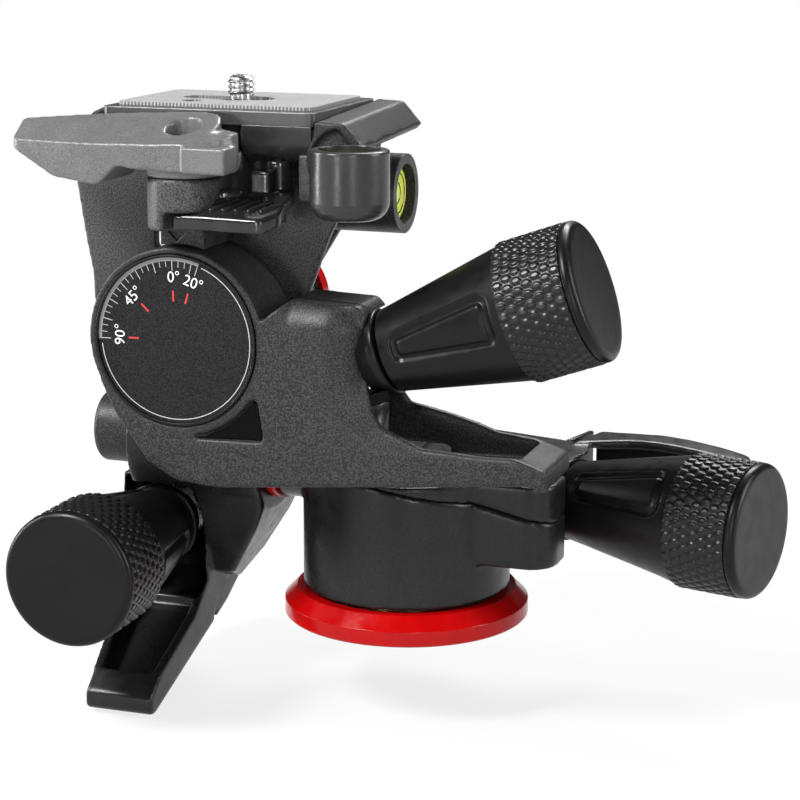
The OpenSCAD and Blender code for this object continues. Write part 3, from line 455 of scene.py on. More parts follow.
class Workpiece:
    """A mesh being shaped in millimetres, which becomes one piece of the head in metres."""

    def __init__(self) -> None:
        """Starts with nothing."""
        self.bm = bmesh.new()

    def turned(self, profile: Profile, sides: int, closed: bool = False,
               part: int = 0) -> list[bmesh.types.BMVert]:
        """Turns a profile of (place along X, radius) about X.

        Args:
            profile: the points of the profile.
            sides: the number of sides.
            closed: joins the profile's last point to its first.
            part: the material index of the new faces.

        Returns:
            The new vertices.
        """
        before = set(self.bm.verts)
        faces = set(self.bm.faces)
        line = [self.bm.verts.new((x, r, 0)) for x, r in profile]
        pairs = list(zip(line, line[1:])) + ([(line[-1], line[0])] if closed else [])
        edges = [self.bm.edges.new(pair) for pair in pairs]
        bmesh.ops.spin(self.bm, geom=line + edges, cent=(0, 0, 0), axis=(1, 0, 0), dvec=(0, 0, 0),
                       angle=math.tau, steps=sides, use_merge=True, use_duplicate=False)
        new = [v for v in self.bm.verts if v not in before]
        bmesh.ops.remove_doubles(self.bm, verts=new, dist=1e-4)
        new = [v for v in self.bm.verts if v not in before]
        fresh = [f for f in self.bm.faces if f not in faces]
        bmesh.ops.recalc_face_normals(self.bm, faces=fresh)
        for f in fresh:
            f.material_index = part
        return new

    def bar(self, size: Point, at: Matrix, bevel: float = 0.0, part: int = 0) -> None:
        """Adds a bar with rounded edges.

        Args:
            size: its sides.
            at: where its centre stands, and how it is turned.
            bevel: the radius of its edges.
            part: the material index of its faces.
        """
        faces = set(self.bm.faces)
        stretch = Matrix.Diagonal((*size, 1))
        made = bmesh.ops.create_cube(self.bm, size=1.0, matrix=at @ stretch)["verts"]
        if bevel:
            edges = list({e for v in made for e in v.link_edges})
            bmesh.ops.bevel(self.bm, geom=edges, offset=bevel, offset_type="OFFSET", segments=3,
                            profile=0.5, affect="EDGES", clamp_overlap=True, material=-1)
        for f in self.bm.faces:
            if f not in faces:
                f.material_index = part

    def finish(self, name: str, body: str, slot: str, finishes: list[Finish],
               place: Matrix | None = None, sharp: float = 38.0) -> bpy.types.Object:
        """Makes the piece and lets it ride on its body.

        Args:
            name: the piece's name.
            body: the body that it moves with.
            slot: not used.
            finishes: its finishes, by material index.
            place: from the piece's own millimetres to the head's.
            sharp: the angle in degrees past which an edge stays sharp.

        Returns:
            The new object.
        """
        to_metres = Matrix.Scale(MM, 4) @ (place or Matrix())
        bmesh.ops.transform(self.bm, matrix=to_metres, verts=self.bm.verts)
        mesh = bpy.data.meshes.new(name)
        self.bm.to_mesh(mesh)
        self.bm.free()
        return adopt(mesh, name, body, finishes, sharp)


def adopt(mesh: bpy.types.Mesh, name: str, body: str, finishes: list[Finish],
          sharp: float = 38.0) -> bpy.types.Object:
    """Makes a piece of a mesh that is in place, in metres.

    Args:
        mesh: the mesh.
        name: the piece's name.
        body: the body that it moves with.
        finishes: its finishes, by material index.
        sharp: the angle in degrees past which an edge stays sharp.

    Returns:
        The new object.
    """
    for finish in finishes:
        mesh.materials.append(finish.material())
    mesh.polygons.foreach_set("use_smooth", [True] * len(mesh.polygons))
    mesh.set_sharp_from_angle(angle=math.radians(sharp))
    piece = bpy.data.objects.new(name, mesh)
    bpy.context.scene.collection.objects.link(piece)
    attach(piece, body)
    log.info("%s rides on %s, %d faces", name, body, len(mesh.polygons))
    return piece


def baked(source: bpy.types.Object) -> bpy.types.Mesh:
    """Applies an object's modifiers and removes it.

    Args:
        source: an object that is not a piece yet.

    Returns:
        The mesh that its modifiers make.
    """
    bpy.context.view_layer.update()
    graph = bpy.context.evaluated_depsgraph_get()
    mesh = bpy.data.meshes.new_from_object(source.evaluated_get(graph))
    bpy.data.objects.remove(source)
    return mesh


def copy_of(node: str) -> bpy.types.Object:
    """Makes a loose copy of a solid, with its triangles joined.

    Args:
        node: the solid's name.

    Returns:
        The copy.
    """
    bm = bmesh.new()
    bm.from_mesh(frame["nodes"][node].data)
    bmesh.ops.remove_doubles(bm, verts=bm.verts, dist=2e-6)
    mesh = bpy.data.meshes.new(node + "_copy")
    bm.to_mesh(mesh)
    bm.free()
    copy = bpy.data.objects.new(node + "_copy", mesh)
    bpy.context.scene.collection.objects.link(copy)
    return copy


def softened(node: str, grain: float, passes: int) -> bpy.types.Mesh:
    """Rounds the edges of a solid as a casting's are.

    Args:
        node: the solid's name.
        grain: the size of the even mesh's faces in millimetres.
        passes: how often the mesh is smoothed.

    Returns:
        The softened mesh, in place.
    """
    loose = copy_of(node)
    even = loose.modifiers.new("even", "REMESH")
    even.mode = "VOXEL"
    even.voxel_size = grain * MM
    soft = loose.modifiers.new("soft", "SMOOTH")
    soft.factor = 0.6
    soft.iterations = passes
    return baked(loose)


def cast(node: str, finish: Finish, grain: float, passes: int) -> None:
    """Puts the softened casting of a solid in its place.

    Args:
        node: the solid's name.
        finish: its finish.
        grain: the size of the even mesh's faces in millimetres.
        passes: how often the mesh is smoothed.
    """
    piece = adopt(softened(node, grain, passes), node + "_casting", frame_body(node), [finish], 60)
    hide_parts(node)


def middle(node: str) -> Vector:
    """Gives the centre of a solid's box in millimetres."""
    low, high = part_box(node)
    return (low + high) / 2 / MM


def arc(x: float, r: float, reach: float, height: float, steps: int, start: float = 0.0) -> Profile:
    """Gives the points of a profile along an elliptical arc, up to its far tip.

    Args:
        x: the arc's centre along the axis.
        r: the arc's centre away from the axis.
        reach: its half length along the axis.
        height: its half height.
        steps: the number of steps.
        start: where it starts, in quarter turns from its highest point.

    Returns:
        The points of (place along the axis, radius).
    """
    angles = [math.pi / 2 * (start + (1 - start) * k / steps) for k in range(steps + 1)]
    return [(x + reach * math.sin(a), r + height * math.cos(a)) for a in angles]


def frame_body(node: str) -> str:
    """Gives the body that a solid belongs to."""
    return frame["nodes"][node]["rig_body"]


def dress(finish: Finish, *nodes: str) -> None:
    """Gives solids a finish.

    Args:
        finish: the finish.
        nodes: the solids' names.
    """
    for node in nodes:
        solid = frame["nodes"][node]
        if not solid.data.materials:
            solid.data.materials.append(None)
        for slot in solid.material_slots:
            slot.material = finish.material()
        log.info("%s is %s", node, finish.value.name)


# ---- Drives ----


@dataclass
class Drive:
    """One worm drive: the knob's cone and face, its grip, its collar and the spring of its clutch."""

    stage: str
    dent_turn: float = 0.0
    neck_r: float = 9.5
    cone_len: float = 31.8
    cone_r: float = 15.7
    cone_rows: int = 74
    cone_sides: int = 176
    end: float = 50.0
    lip_r: float = 1.7
    dish: float = 0.16
    dish_steps: int = 12
    dents: int = 3
    dent_start: float = 6.0
    dent_end: float = 26.8
    dent_half_start: float = 1.0
    dent_half_end: float = 3.5
    dent_corner: float = 1.7
    groove_half: float = 1.5
    groove_depth: float = 1.15
    floor_depth: float = 0.2
    floor_fade: float = 0.8
    grip_r: float = 16.3
    grip_len: float = 15.6
    grip_rows: int = 70
    grip_sides: int = 420
    columns: int = 7
    ovals: int = 42
    oval_half_len: float = 1.28
    oval_half_width: float = 0.86
    oval_rise: float = 0.4
    spring_turns: int = 4
    spring_pitch: float = 1.6
    spring_r: float = 3.3
    spring_sides: int = 28
    wire_r: float = 0.5
    place: Matrix = field(init=False)
    pivot: Vector = field(init=False)

    def __post_init__(self) -> None:
        """Finds the drive's frame from its joints: X along the knob, Y towards the wing."""
        joints = {j["name"]: j for j in frame["joints"]}
        turn = joints[f"{self.stage}_knob_turn"]
        clutch = joints[f"{self.stage}_clutch"]
        along = Vector(turn["axis"])
        across = Vector(clutch["axis"])
        axes = Matrix((along, across.cross(along), across)).transposed().to_4x4()
        self.place = Matrix.Translation(Vector(turn["pos_m"]) / MM) @ axes
        self.pivot = self.place.inverted() @ (Vector(clutch["pos_m"]) / MM)

    def cone_radius(self, x: float) -> float:
        """Gives the cone's radius at a distance from its neck."""
        neck = self.neck_r + 0.1
        return neck + (self.cone_r - neck) * x / self.cone_len

    def dent_depth(self, x: float, around: float) -> float:
        """Gives how deep the surface lies under the cone, at the ring-shaped grooves and inside them.

        Args:
            x: the distance from the neck.
            around: the angle about the knob's axis.

        Returns:
            The depth in millimetres.
        """
        step = math.tau / self.dents
        off = (around - math.radians(self.dent_turn) + step / 2) % step - step / 2
        t = abs(off) * self.cone_radius(x)
        slope = (self.dent_half_end - self.dent_half_start) / (self.dent_end - self.dent_start)
        side = (t - self.dent_half_start - slope * (x - self.dent_start)) / math.hypot(1, slope)
        ends = max(self.dent_start - x, x - self.dent_end)
        distance = max(side, ends)
        if side > 0 and ends > 0:
            wide = x > self.dent_end
            edge = self.dent_end if wide else self.dent_start
            half = self.dent_half_end if wide else self.dent_half_start
            distance = math.hypot(x - edge, max(0.0, t - half))
        distance -= self.dent_corner
        groove = 0.5 * (1 + math.cos(math.pi * min(1.0, abs(distance) / self.groove_half)))
        inside = min(1.0, max(0.0, -distance / self.floor_fade))
        return self.groove_depth * groove + self.floor_depth * inside

    def build_cone(self) -> None:
        """Builds the cone with its dents, the core under the grip and the dished end face."""
        places = [self.cone_len * i / self.cone_rows for i in range(self.cone_rows + 1)]
        body = [(0.0, self.neck_r - 1.0), (0.12, self.neck_r - 0.55), (0.3, self.neck_r - 0.2)]
        body += [(x, self.cone_radius(x)) for x in places[1:]]
        core = self.grip_r - 1.6
        rim = self.end - 2.5
        face_r = self.grip_r - 1.85
        step = [(self.cone_len + 0.1, core), (rim - 0.1, core), (rim, self.grip_r - 0.5),
                (rim + 0.3, self.grip_r - 0.2)]
        inward = [1 - k / self.dish_steps for k in range(1, self.dish_steps + 1)]
        face = [(self.end - self.dish * (1 - share ** 2), face_r * share) for share in inward]
        lip = arc(self.end - self.lip_r, face_r, self.lip_r, self.lip_r, 9)
        work = Workpiece()
        for v in work.turned([(0.0, 2.6)] + body + step + lip + face, self.cone_sides):
            r = math.hypot(v.co.y, v.co.z)
            if 1.5 < v.co.x < self.cone_len - 0.4 and r > self.cone_radius(v.co.x) - 0.05:
                drop = self.dent_depth(v.co.x, math.atan2(v.co.z, v.co.y))
                v.co.y *= (r - drop) / r
                v.co.z *= (r - drop) / r
        piece = work.finish(f"{self.stage}_knob_satin", f"{self.stage}_knob_body", "knob", [Finish.KNOB],
                            self.place, 50)
        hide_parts(f"{self.stage}_knob")

    def oval_height(self, x: float, around: float) -> float:
        """Gives how high the grip's nearest oval stands.

        Args:
            x: the distance along the grip.
            around: the angle about the knob's axis.

        Returns:
            The height in millimetres.
        """
        pitch = self.grip_len / self.columns
        step = math.tau / self.ovals
        best = 0.0
        for column in range(int(x / pitch) - 1, int(x / pitch) + 2):
            shift = 0.5 * step * (column % 2)
            off = (around - shift + step / 2) % step - step / 2
            along = (x - (column + 0.5) * pitch) / self.oval_half_len
            reach = along ** 2 + (off * self.grip_r / self.oval_half_width) ** 2
            best = max(best, min(1.0, max(0.0, 1 - reach) * 1.9))
        return self.oval_rise * best ** 0.6

    def build_grip(self) -> None:
        """Builds the rubber grip with its staggered ovals."""
        base = self.grip_r - 0.42
        inner = self.grip_r - 1.5
        far = self.cone_len + self.grip_len
        rows = self.grip_rows
        skin = [(self.cone_len + self.grip_len * i / rows, base) for i in range(rows + 1)]
        work = Workpiece()
        for v in work.turned(skin + [(far, inner), (self.cone_len, inner)], self.grip_sides, closed=True):
            r = math.hypot(v.co.y, v.co.z)
            if r < base - 0.1:
                continue
            rise = self.oval_height(v.co.x - self.cone_len, math.atan2(v.co.z, v.co.y))
            v.co.y *= (r + rise) / r
            v.co.z *= (r + rise) / r
        piece = work.finish(f"{self.stage}_grip_rubber", f"{self.stage}_knob_body", "rubber",
                            [Finish.RUBBER], self.place, 70)
        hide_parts(f"{self.stage}_grip")

    def build_collar(self) -> None:
        """Builds the dark collar in which the knob's neck runs."""
        r = self.neck_r
        profile = [(-5.2, r - 1.4), (-4.6, r - 0.6), (-3.0, r - 0.2), (-2.3, r + 0.5)]
        profile += arc(-0.95, r + 0.1, 0.6, 0.6, 5) + [(-0.35, 4.5), (-5.2, 4.5)]
        work = Workpiece()
        work.turned(profile, 96, closed=True)
        work.finish(f"{self.stage}_collar", f"{self.stage}_carriage_body", "shell", [Finish.KNOB],
                    self.place, 40)

    def build_spring(self) -> None:
        """Builds the clutch spring as one round wire with straight ends."""
        work = Workpiece()
        start = Matrix.Translation((self.spring_r, 0, -self.spring_turns * self.spring_pitch / 2))
        ring = bmesh.ops.create_circle(work.bm, radius=self.wire_r, segments=10, cap_ends=False,
                                       matrix=start @ Matrix.Rotation(math.pi / 2, 4, "X"))["verts"]
        edges = list({e for v in ring for e in v.link_edges})
        made = bmesh.ops.spin(work.bm, geom=ring + edges, cent=(0, 0, 0), axis=(0, 0, 1),
                              dvec=(0, 0, self.spring_pitch / self.spring_sides),
                              angle=math.tau * self.spring_turns,
                              steps=self.spring_turns * self.spring_sides,
                              use_merge=False, use_duplicate=False)
        last = [v for v in made["geom_last"] if isinstance(v, bmesh.types.BMVert)]
        for verts in (ring, last):
            self.lengthen(work.bm, verts)
        bmesh.ops.recalc_face_normals(work.bm, faces=work.bm.faces)
        piece = work.finish(f"{self.stage}_spring_wire", frame_body(f"{self.stage}_clutch_spring"), "steel",
                            [Finish.STEEL], self.place @ Matrix.Translation(self.pivot), 60)
        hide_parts(f"{self.stage}_clutch_spring")

    def lengthen(self, bm: bmesh.types.BMesh, verts: list[bmesh.types.BMVert]) -> None:
        """Draws one end of the wire out and closes it.

        Args:
            bm: the spring's mesh.
            verts: the ring at that end.
        """
        ring = [e for e in bm.edges if e.is_boundary and all(v in set(verts) for v in e.verts)]
        centre = sum((v.co for v in verts), Vector()) / len(verts)
        normal = (verts[0].co - centre).cross(verts[len(verts) // 3].co - centre).normalized()
        inner = next(o for v in verts for e in v.link_edges for o in e.verts if o not in set(verts))
        if (inner.co - centre).dot(normal) > 0:
            normal = -normal
        out = bmesh.ops.extrude_edge_only(bm, edges=ring)["geom"]
        moved = [v for v in out if isinstance(v, bmesh.types.BMVert)]
        bmesh.ops.translate(bm, verts=moved, vec=normal * self.wire_r * 2)
        bmesh.ops.contextual_create(bm, geom=[e for e in out if isinstance(e, bmesh.types.BMEdge)])

    def build(self) -> None:
        """Builds the drive's pieces and dresses its solids."""
        self.build_cone()
        self.build_grip()
        self.build_collar()
        self.build_spring()
        dress(Finish.STEEL, f"{self.stage}_worm", f"{self.stage}_pivot_pin")
        # the carriages are near-black: painted shade where they show at the knob's neck
        dress(Finish.RECESS, f"{self.stage}_carriage")


# ---- Dial ----


@dataclass
class Dial:
    """The dial's face with its scale of generic numbers. Angles run clockwise from the top."""

    turn: float = -1.5
    circle_r: float = 18.5
    band_r: float = 19.35
    band: tuple[float, float] = (-90.5, 20.5)
    circle: tuple[float, float] = (23, 266)
    line: float = 0.2
    tick_step: int = 5
    long_step: int = 15
    long_tick: tuple[float, float] = (0.16, 2.4)
    short_tick: tuple[float, float] = (0.13, 1.5)
    dash: tuple[float, float] = (0.42, 2.5)
    dash_r: float = 10.4
    dashes: tuple[float, ...] = (0.0, 18.5, -44.0, -88.5)
    label_size: float = 3.6
    labels: tuple[tuple[str, float, float], ...] = (("0°", 0.9, 14.7), ("20°", 20.4, 14.4),
                                                    ("45°", -45.6, 14.2), ("90°", -86.2, 13.8))
    ink: float = 0.03

    def __post_init__(self) -> None:
        """Finds the face's centre and the plane of its front."""
        self.centre = middle("dial_plate")
        self.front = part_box("dial_plate")[0].y / MM

    def at(self, r: float, angle: float) -> Matrix:
        """Gives a frame on the face whose X is across, Y outwards and Z to the user.

        Args:
            r: the distance from the dial's centre.
            angle: its angle in degrees.

        Returns:
            The frame in the head's millimetres.
        """
        face = Matrix.Translation((self.centre.x, self.front - self.ink / 2, self.centre.z))
        upright = face @ Matrix.Rotation(math.pi / 2, 4, "X")
        turned = upright @ Matrix.Rotation(-math.radians(angle + self.turn), 4, "Z")
        return turned @ Matrix.Translation((0, r, 0))

    def arc_band(self, work: Workpiece, r0: float, r1: float, span: tuple[float, float],
                 part: int) -> None:
        """Adds a flat band of ink along an arc.

        Args:
            work: the piece.
            r0: its inner radius.
            r1: its outer radius.
            span: its first and last angles.
            part: the material index.
        """
        sweep = span[1] - span[0]
        faces = set(work.bm.faces)
        mid = self.at((r0 + r1) / 2, span[0])
        thin = Matrix.Diagonal((0.001, r1 - r0, self.ink, 1))
        bmesh.ops.create_cube(work.bm, size=1.0, matrix=mid @ thin)
        right = (mid.to_3x3() @ Vector((1, 0, 0))).normalized()
        fresh = [f for f in work.bm.faces if f not in faces]
        cap = max(fresh, key=lambda f: f.calc_center_median().dot(right))
        rim = list(cap.verts) + list(cap.edges)
        bmesh.ops.delete(work.bm, geom=[cap], context="FACES_ONLY")
        bmesh.ops.spin(work.bm, geom=rim, cent=self.at(0, 0).translation, axis=(0, 1, 0), dvec=(0, 0, 0),
                       angle=math.radians(sweep), steps=max(6, int(abs(sweep) / 2)), use_merge=False,
                       use_duplicate=False)
        fresh = [f for f in work.bm.faces if f not in faces]
        bmesh.ops.holes_fill(work.bm, edges=[e for f in fresh for e in f.edges if e.is_boundary], sides=4)
        fresh = [f for f in work.bm.faces if f not in faces]
        bmesh.ops.recalc_face_normals(work.bm, faces=fresh)
        for f in fresh:
            f.material_index = part

    def build_scale(self) -> None:
        """Builds the graduation, the circle round it and the red dashes."""
        work = Workpiece()
        half = self.line / 2
        self.arc_band(work, self.circle_r, self.band_r, self.band, 1)
        self.arc_band(work, self.circle_r - half, self.circle_r + half, self.circle, 0)
        for angle in range(-90, 21, self.tick_step):
            long = angle % self.long_step == 0 or angle == 20
            width, length = self.long_tick if long else self.short_tick
            work.bar((width, length, self.ink), self.at(self.circle_r - length / 2 + 0.1, angle))
        for angle in self.dashes:
            work.bar((*self.dash, self.ink), self.at(self.dash_r, angle), part=2)
        work.finish("dial_scale", frame_body("dial_plate"), "dial",
                    [Finish.LINE, Finish.GREY, Finish.RED_INK])

    def build_labels(self) -> None:
        """Builds the numbers, each with its top outwards."""
        for text, angle, r in self.labels:
            curve = bpy.data.curves.new("number", "FONT")
            curve.body = text
            curve.size = self.label_size
            curve.align_x = "CENTER"
            curve.align_y = "CENTER"
            curve.extrude = self.ink / 2
            curve.offset = -0.015
            letter = bpy.data.objects.new("number", curve)
            bpy.context.scene.collection.objects.link(letter)
            mesh = baked(letter)
            bm = bmesh.new()
            bm.from_mesh(mesh)
            bmesh.ops.remove_doubles(bm, verts=bm.verts, dist=1e-5)
            centre = (min(v.co.x for v in bm.verts) + max(v.co.x for v in bm.verts)) / 2
            at = self.at(r, angle) @ Matrix.Translation((-centre, 0, 0))
            bmesh.ops.transform(bm, matrix=Matrix.Scale(MM, 4) @ at, verts=bm.verts)
            bm.to_mesh(mesh)
            bm.free()
            name = "dial_number_" + text.rstrip("°")
            adopt(mesh, name, frame_body("dial_plate"), [Finish.WHITE])

    def build(self) -> None:
        """Builds the dial's markings and dresses its solids."""
        self.build_scale()
        self.build_labels()
        dress(Finish.DIAL, "dial_plate")
        dress(Finish.KNOB, "dial_bezel")


# ---- Quick-release clamp ----


@dataclass
class Clamp:
    """The camera plate, its pad and screw, the lock lever and the safety catch."""

    screw_r: float = 3.175
    thread_pitch: float = 1.27
    thread_depth: float = 0.55
    thread_len: float = 5.3
    thread_sides: int = 40
    head_r: float = 7.0
    head_h: float = 1.4
    pad_cell: float = 0.8
    pad_corner: float = 2.0
    pad_lift: float = 0.02
    slot_half: float = 4.0
    slot_left: float = -14.5
    slot_right: float = 8.5
    ring_r: float = 5.6
    hole_at: tuple[float, float] = (-8.2, -9.6)
    hole_r: float = 2.6
    catch_top: float = 102.3
    catch_front: float = -48.0
    catch_tilt: float = 0.38
    catch_ribs: int = 6
    rib_step: float = 2.9
    rib_start: tuple[float, float] = (-32.4, -42.6)
    lug_at: Point = (-29.6, -38.4, 106.0)
    apron_profile: tuple[tuple[float, float], ...] = ((-0.5, 0.0), (-0.25, -3.6), (0.7, -6.2),
                                                      (2.4, -8.0), (4.6, -8.6))
    apron_left: float = 35.3
    apron_right: float = 0.5
    apron_drop: float = 3.05
    apron_wall: float = 0.8

    def wind_thread(self, work: Workpiece, top: float) -> None:
        """Winds the screw's thread about Z.

        Args:
            work: the piece.
            top: the screw's top.
        """
        core = self.screw_r - self.thread_depth
        start = top - self.thread_len
        half = self.thread_pitch / 2 - 0.06
        crest = self.screw_r - 0.08
        ring = [work.bm.verts.new(p) for p in (
            (core - 0.2, 0, -half), (core + 0.02, 0, -half), (crest, 0, -0.1), (self.screw_r, 0, 0),
            (crest, 0, 0.1), (core + 0.02, 0, half), (core - 0.2, 0, half))]
        edges = [work.bm.edges.new(pair) for pair in zip(ring, ring[1:] + ring[:1])]
        bmesh.ops.translate(work.bm, verts=ring, vec=(0, 0, start + half))
        steps = int((top - 1.0 - start) / self.thread_pitch * self.thread_sides)
        made = bmesh.ops.spin(work.bm, geom=ring + edges, cent=(0, 0, 0), axis=(0, 0, 1),
                              dvec=(0, 0, self.thread_pitch / self.thread_sides),
                              angle=math.tau * steps / self.thread_sides, steps=steps, use_merge=False,
                              use_duplicate=False)
        last = [g for g in made["geom_last"] if isinstance(g, bmesh.types.BMEdge)]
        for end in (edges, last):
            bmesh.ops.contextual_create(work.bm, geom=end)
        bmesh.ops.recalc_face_normals(work.bm, faces=work.bm.faces)

    def build_screw(self) -> None:
        """Builds the camera screw with its thread and its head."""
        low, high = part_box("camera_screw")
        centre = middle("camera_screw")
        top = high.z / MM
        foot = low.z / MM
        brow = foot + self.head_h
        core = self.screw_r - self.thread_depth
        work = Workpiece()
        self.wind_thread(work, top)
        rod = [(brow - 0.2, 0.0), (brow - 0.2, core), (top - 0.55, core + 0.02), (top - 0.12, core - 0.42),
               (top, core - 0.62), (top, 0.0)]
        r = self.head_r
        head = [(foot, 0.0), (foot, r - 0.3), (foot + 0.3, r), (brow - 0.3, r), (brow, r - 0.3), (brow, 0.0)]
        for profile in (rod, head):
            bmesh.ops.transform(work.bm, matrix=Matrix.Rotation(-math.pi / 2, 4, "Y"),
                                verts=work.turned(profile, 64))
        piece = work.finish("camera_screw_thread", "camera_screw_body", "steel", [Finish.STEEL],
                            Matrix.Translation((centre.x, centre.y, 0)), 30)
        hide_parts("camera_screw")

    def in_opening(self, dx: float, dy: float) -> bool:
        """Tells whether a place lies in the pad's recess or hole.

        Args:
            dx: the distance from the screw to the right.
            dy: the distance from the screw to the back.

        Returns:
            True where the pad is open.
        """
        reach = max(self.slot_left + self.slot_half - dx, 0, dx - self.slot_right + self.slot_half)
        in_slot = math.hypot(reach, dy) < self.slot_half or math.hypot(dx, dy) < self.ring_r
        return in_slot or math.hypot(dx - self.hole_at[0], dy - self.hole_at[1]) < self.hole_r

    def snap(self, v: bmesh.types.BMVert, screw: Vector) -> bool:
        """Moves a rim point onto the outline of the hole or the recess.

        Args:
            v: the point.
            screw: the screw's centre.

        Returns:
            True where the point is on one of the two.
        """
        dx, dy = v.co.x - screw.x, v.co.y - screw.y
        hole = Vector(self.hole_at)
        off = Vector((dx, dy)) - hole
        if off.length < 4.0:
            off = off.normalized() * self.hole_r if off.length > 0.01 else off
            v.co.x, v.co.y = screw.x + hole.x + off.x, screw.y + hole.y + off.y
            return True
        if not (abs(dy) < 7.5 and self.slot_left - 2 < dx < self.slot_right + 2):
            return False
        far = math.hypot(dx, dy)
        if far < self.ring_r + 1.2 and abs(dy) > self.slot_half * 0.98:
            v.co.x, v.co.y = screw.x + dx * self.ring_r / far, screw.y + dy * self.ring_r / far
            return True
        x = min(max(dx, self.slot_left + self.slot_half), self.slot_right - self.slot_half)
        off = Vector((dx - x, dy))
        if off.length > 0.01:
            off = off.normalized() * self.slot_half
            v.co.x, v.co.y = screw.x + x + off.x, screw.y + off.y
        return True

    def round_corner(self, v: bmesh.types.BMVert, low: Vector, high: Vector) -> None:
        """Pulls an outer point onto the pad's rounded corners.

        Args:
            v: the point.
            low: the pad's lowest corner.
            high: the pad's highest corner.
        """
        x = min(max(v.co.x, low.x + self.pad_corner), high.x - self.pad_corner)
        y = min(max(v.co.y, low.y + self.pad_corner), high.y - self.pad_corner)
        off = Vector((v.co.x - x, v.co.y - y))
        if off.length > self.pad_corner:
            off = off.normalized() * self.pad_corner
            v.co.x, v.co.y = x + off.x, y + off.y

    def build_pad(self) -> None:
        """Builds the rubber pad with the long recess round the screw and the hole beside it."""
        low, high = (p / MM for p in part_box("plate_pad"))
        screw = middle("camera_screw")
        size = high - low
        mid = (high + low) / 2
        work = Workpiece()
        place = Matrix.Translation((mid.x, mid.y, low.z + self.pad_lift))
        bmesh.ops.create_grid(work.bm, x_segments=int(size.x / self.pad_cell),
                              y_segments=int(size.y / self.pad_cell), size=0.5,
                              matrix=place @ Matrix.Diagonal((size.x, size.y, 1, 1)))
        spots = ((f, f.calc_center_median() - screw) for f in work.bm.faces)
        cut = [f for f, spot in spots if self.in_opening(spot.x, spot.y)]
        bmesh.ops.delete(work.bm, geom=cut, context="FACES")
        for v in [v for v in work.bm.verts if v.is_boundary]:
            if not self.snap(v, screw):
                self.round_corner(v, low, high)
        solid = bmesh.ops.extrude_face_region(work.bm, geom=list(work.bm.faces))["geom"]
        top = [v for v in solid if isinstance(v, bmesh.types.BMVert)]
        bmesh.ops.translate(work.bm, verts=top, vec=(0, 0, size.z - self.pad_lift))
        bmesh.ops.recalc_face_normals(work.bm, faces=work.bm.faces)
        piece = work.finish("ribbed_pad", "plate_body", "pad", [Finish.PAD])
        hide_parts("plate_pad")

    def catch_lift(self, x: float, y: float) -> float:
        """Gives how far the catch's tab rises at a place, towards the back and the right."""
        share = min(1.0, max(0.0, (x + 38.5) / 6))
        return self.catch_tilt * min(11.0, max(0.0, y - self.catch_front)) * share

    def build_catch(self) -> None:
        """Builds the safety catch with its raised tab, its finger ribs and its glossy lug."""
        mesh = softened("safety_catch", 0.32, 8)
        for v in mesh.vertices:
            x, y, z = v.co / MM
            fade = min(1.0, max(0.0, (111 - z) / 8.5))
            v.co.z += self.catch_lift(x, y) * fade * MM
        piece = adopt(mesh, "catch_tab", "safety_catch_body", [Finish.GLOSS], 60)
        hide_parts("safety_catch")
        work = Workpiece()
        slant = Matrix.Rotation(math.radians(50), 4, "Z")
        lean = Matrix.Rotation(math.atan(self.catch_tilt), 4, "X") @ slant
        for k in range(self.catch_ribs):
            x = self.rib_start[0] + self.rib_step * k
            y = self.rib_start[1]
            at = Matrix.Translation((x, y, self.catch_top + self.catch_lift(x, y) + 0.1))
            work.bar((8.2 - 0.3 * k, 1.25, 1.1), at @ lean, 0.5)
        lug = Matrix.Translation(self.lug_at) @ Matrix.Rotation(math.radians(35), 4, "Z")
        work.bar((6.4, 2.8, 3.4), lug, 1.3)
        work.finish("catch_ribs", "safety_catch_body", "shell", [Finish.GLOSS])

    def build_apron(self) -> None:
        """Builds the smooth skirt that curves under the front of the plate, right of the lever."""
        low, high = (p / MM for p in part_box("camera_plate"))
        left = low.x + self.apron_left
        top = high.z - self.apron_drop
        work = Workpiece()
        front = [work.bm.verts.new((left, low.y + y, top + z)) for y, z in self.apron_profile]
        edges = [work.bm.edges.new(pair) for pair in zip(front, front[1:])]
        made = bmesh.ops.extrude_edge_only(work.bm, edges=edges)["geom"]
        far = [g for g in made if isinstance(g, bmesh.types.BMVert)]
        bmesh.ops.translate(work.bm, verts=far, vec=(high.x - self.apron_right - left, 0, 0))
        bmesh.ops.recalc_face_normals(work.bm, faces=work.bm.faces)
        bmesh.ops.solidify(work.bm, geom=list(work.bm.faces), thickness=self.apron_wall)
        bmesh.ops.recalc_face_normals(work.bm, faces=work.bm.faces)
        work.finish("plate_apron", "platform", "shell", [Finish.CUP], None, 50)

    def build(self) -> None:
        """Builds the clamp's pieces and dresses its solids."""
        self.build_screw()
        self.build_pad()
        self.build_catch()
        self.build_apron()
        cast("lock_lever", Finish.LEVER, 0.34, 10)
        cast("clamp_base", Finish.SHELL, 0.42, 8)
        dress(Finish.PLATE, "camera_plate")
        dress(Finish.STEEL, "lever_pin", "lever_clip", "deck_screws")
        dress(Finish.KNOB, "catch_pin")


# ---- Levels ----


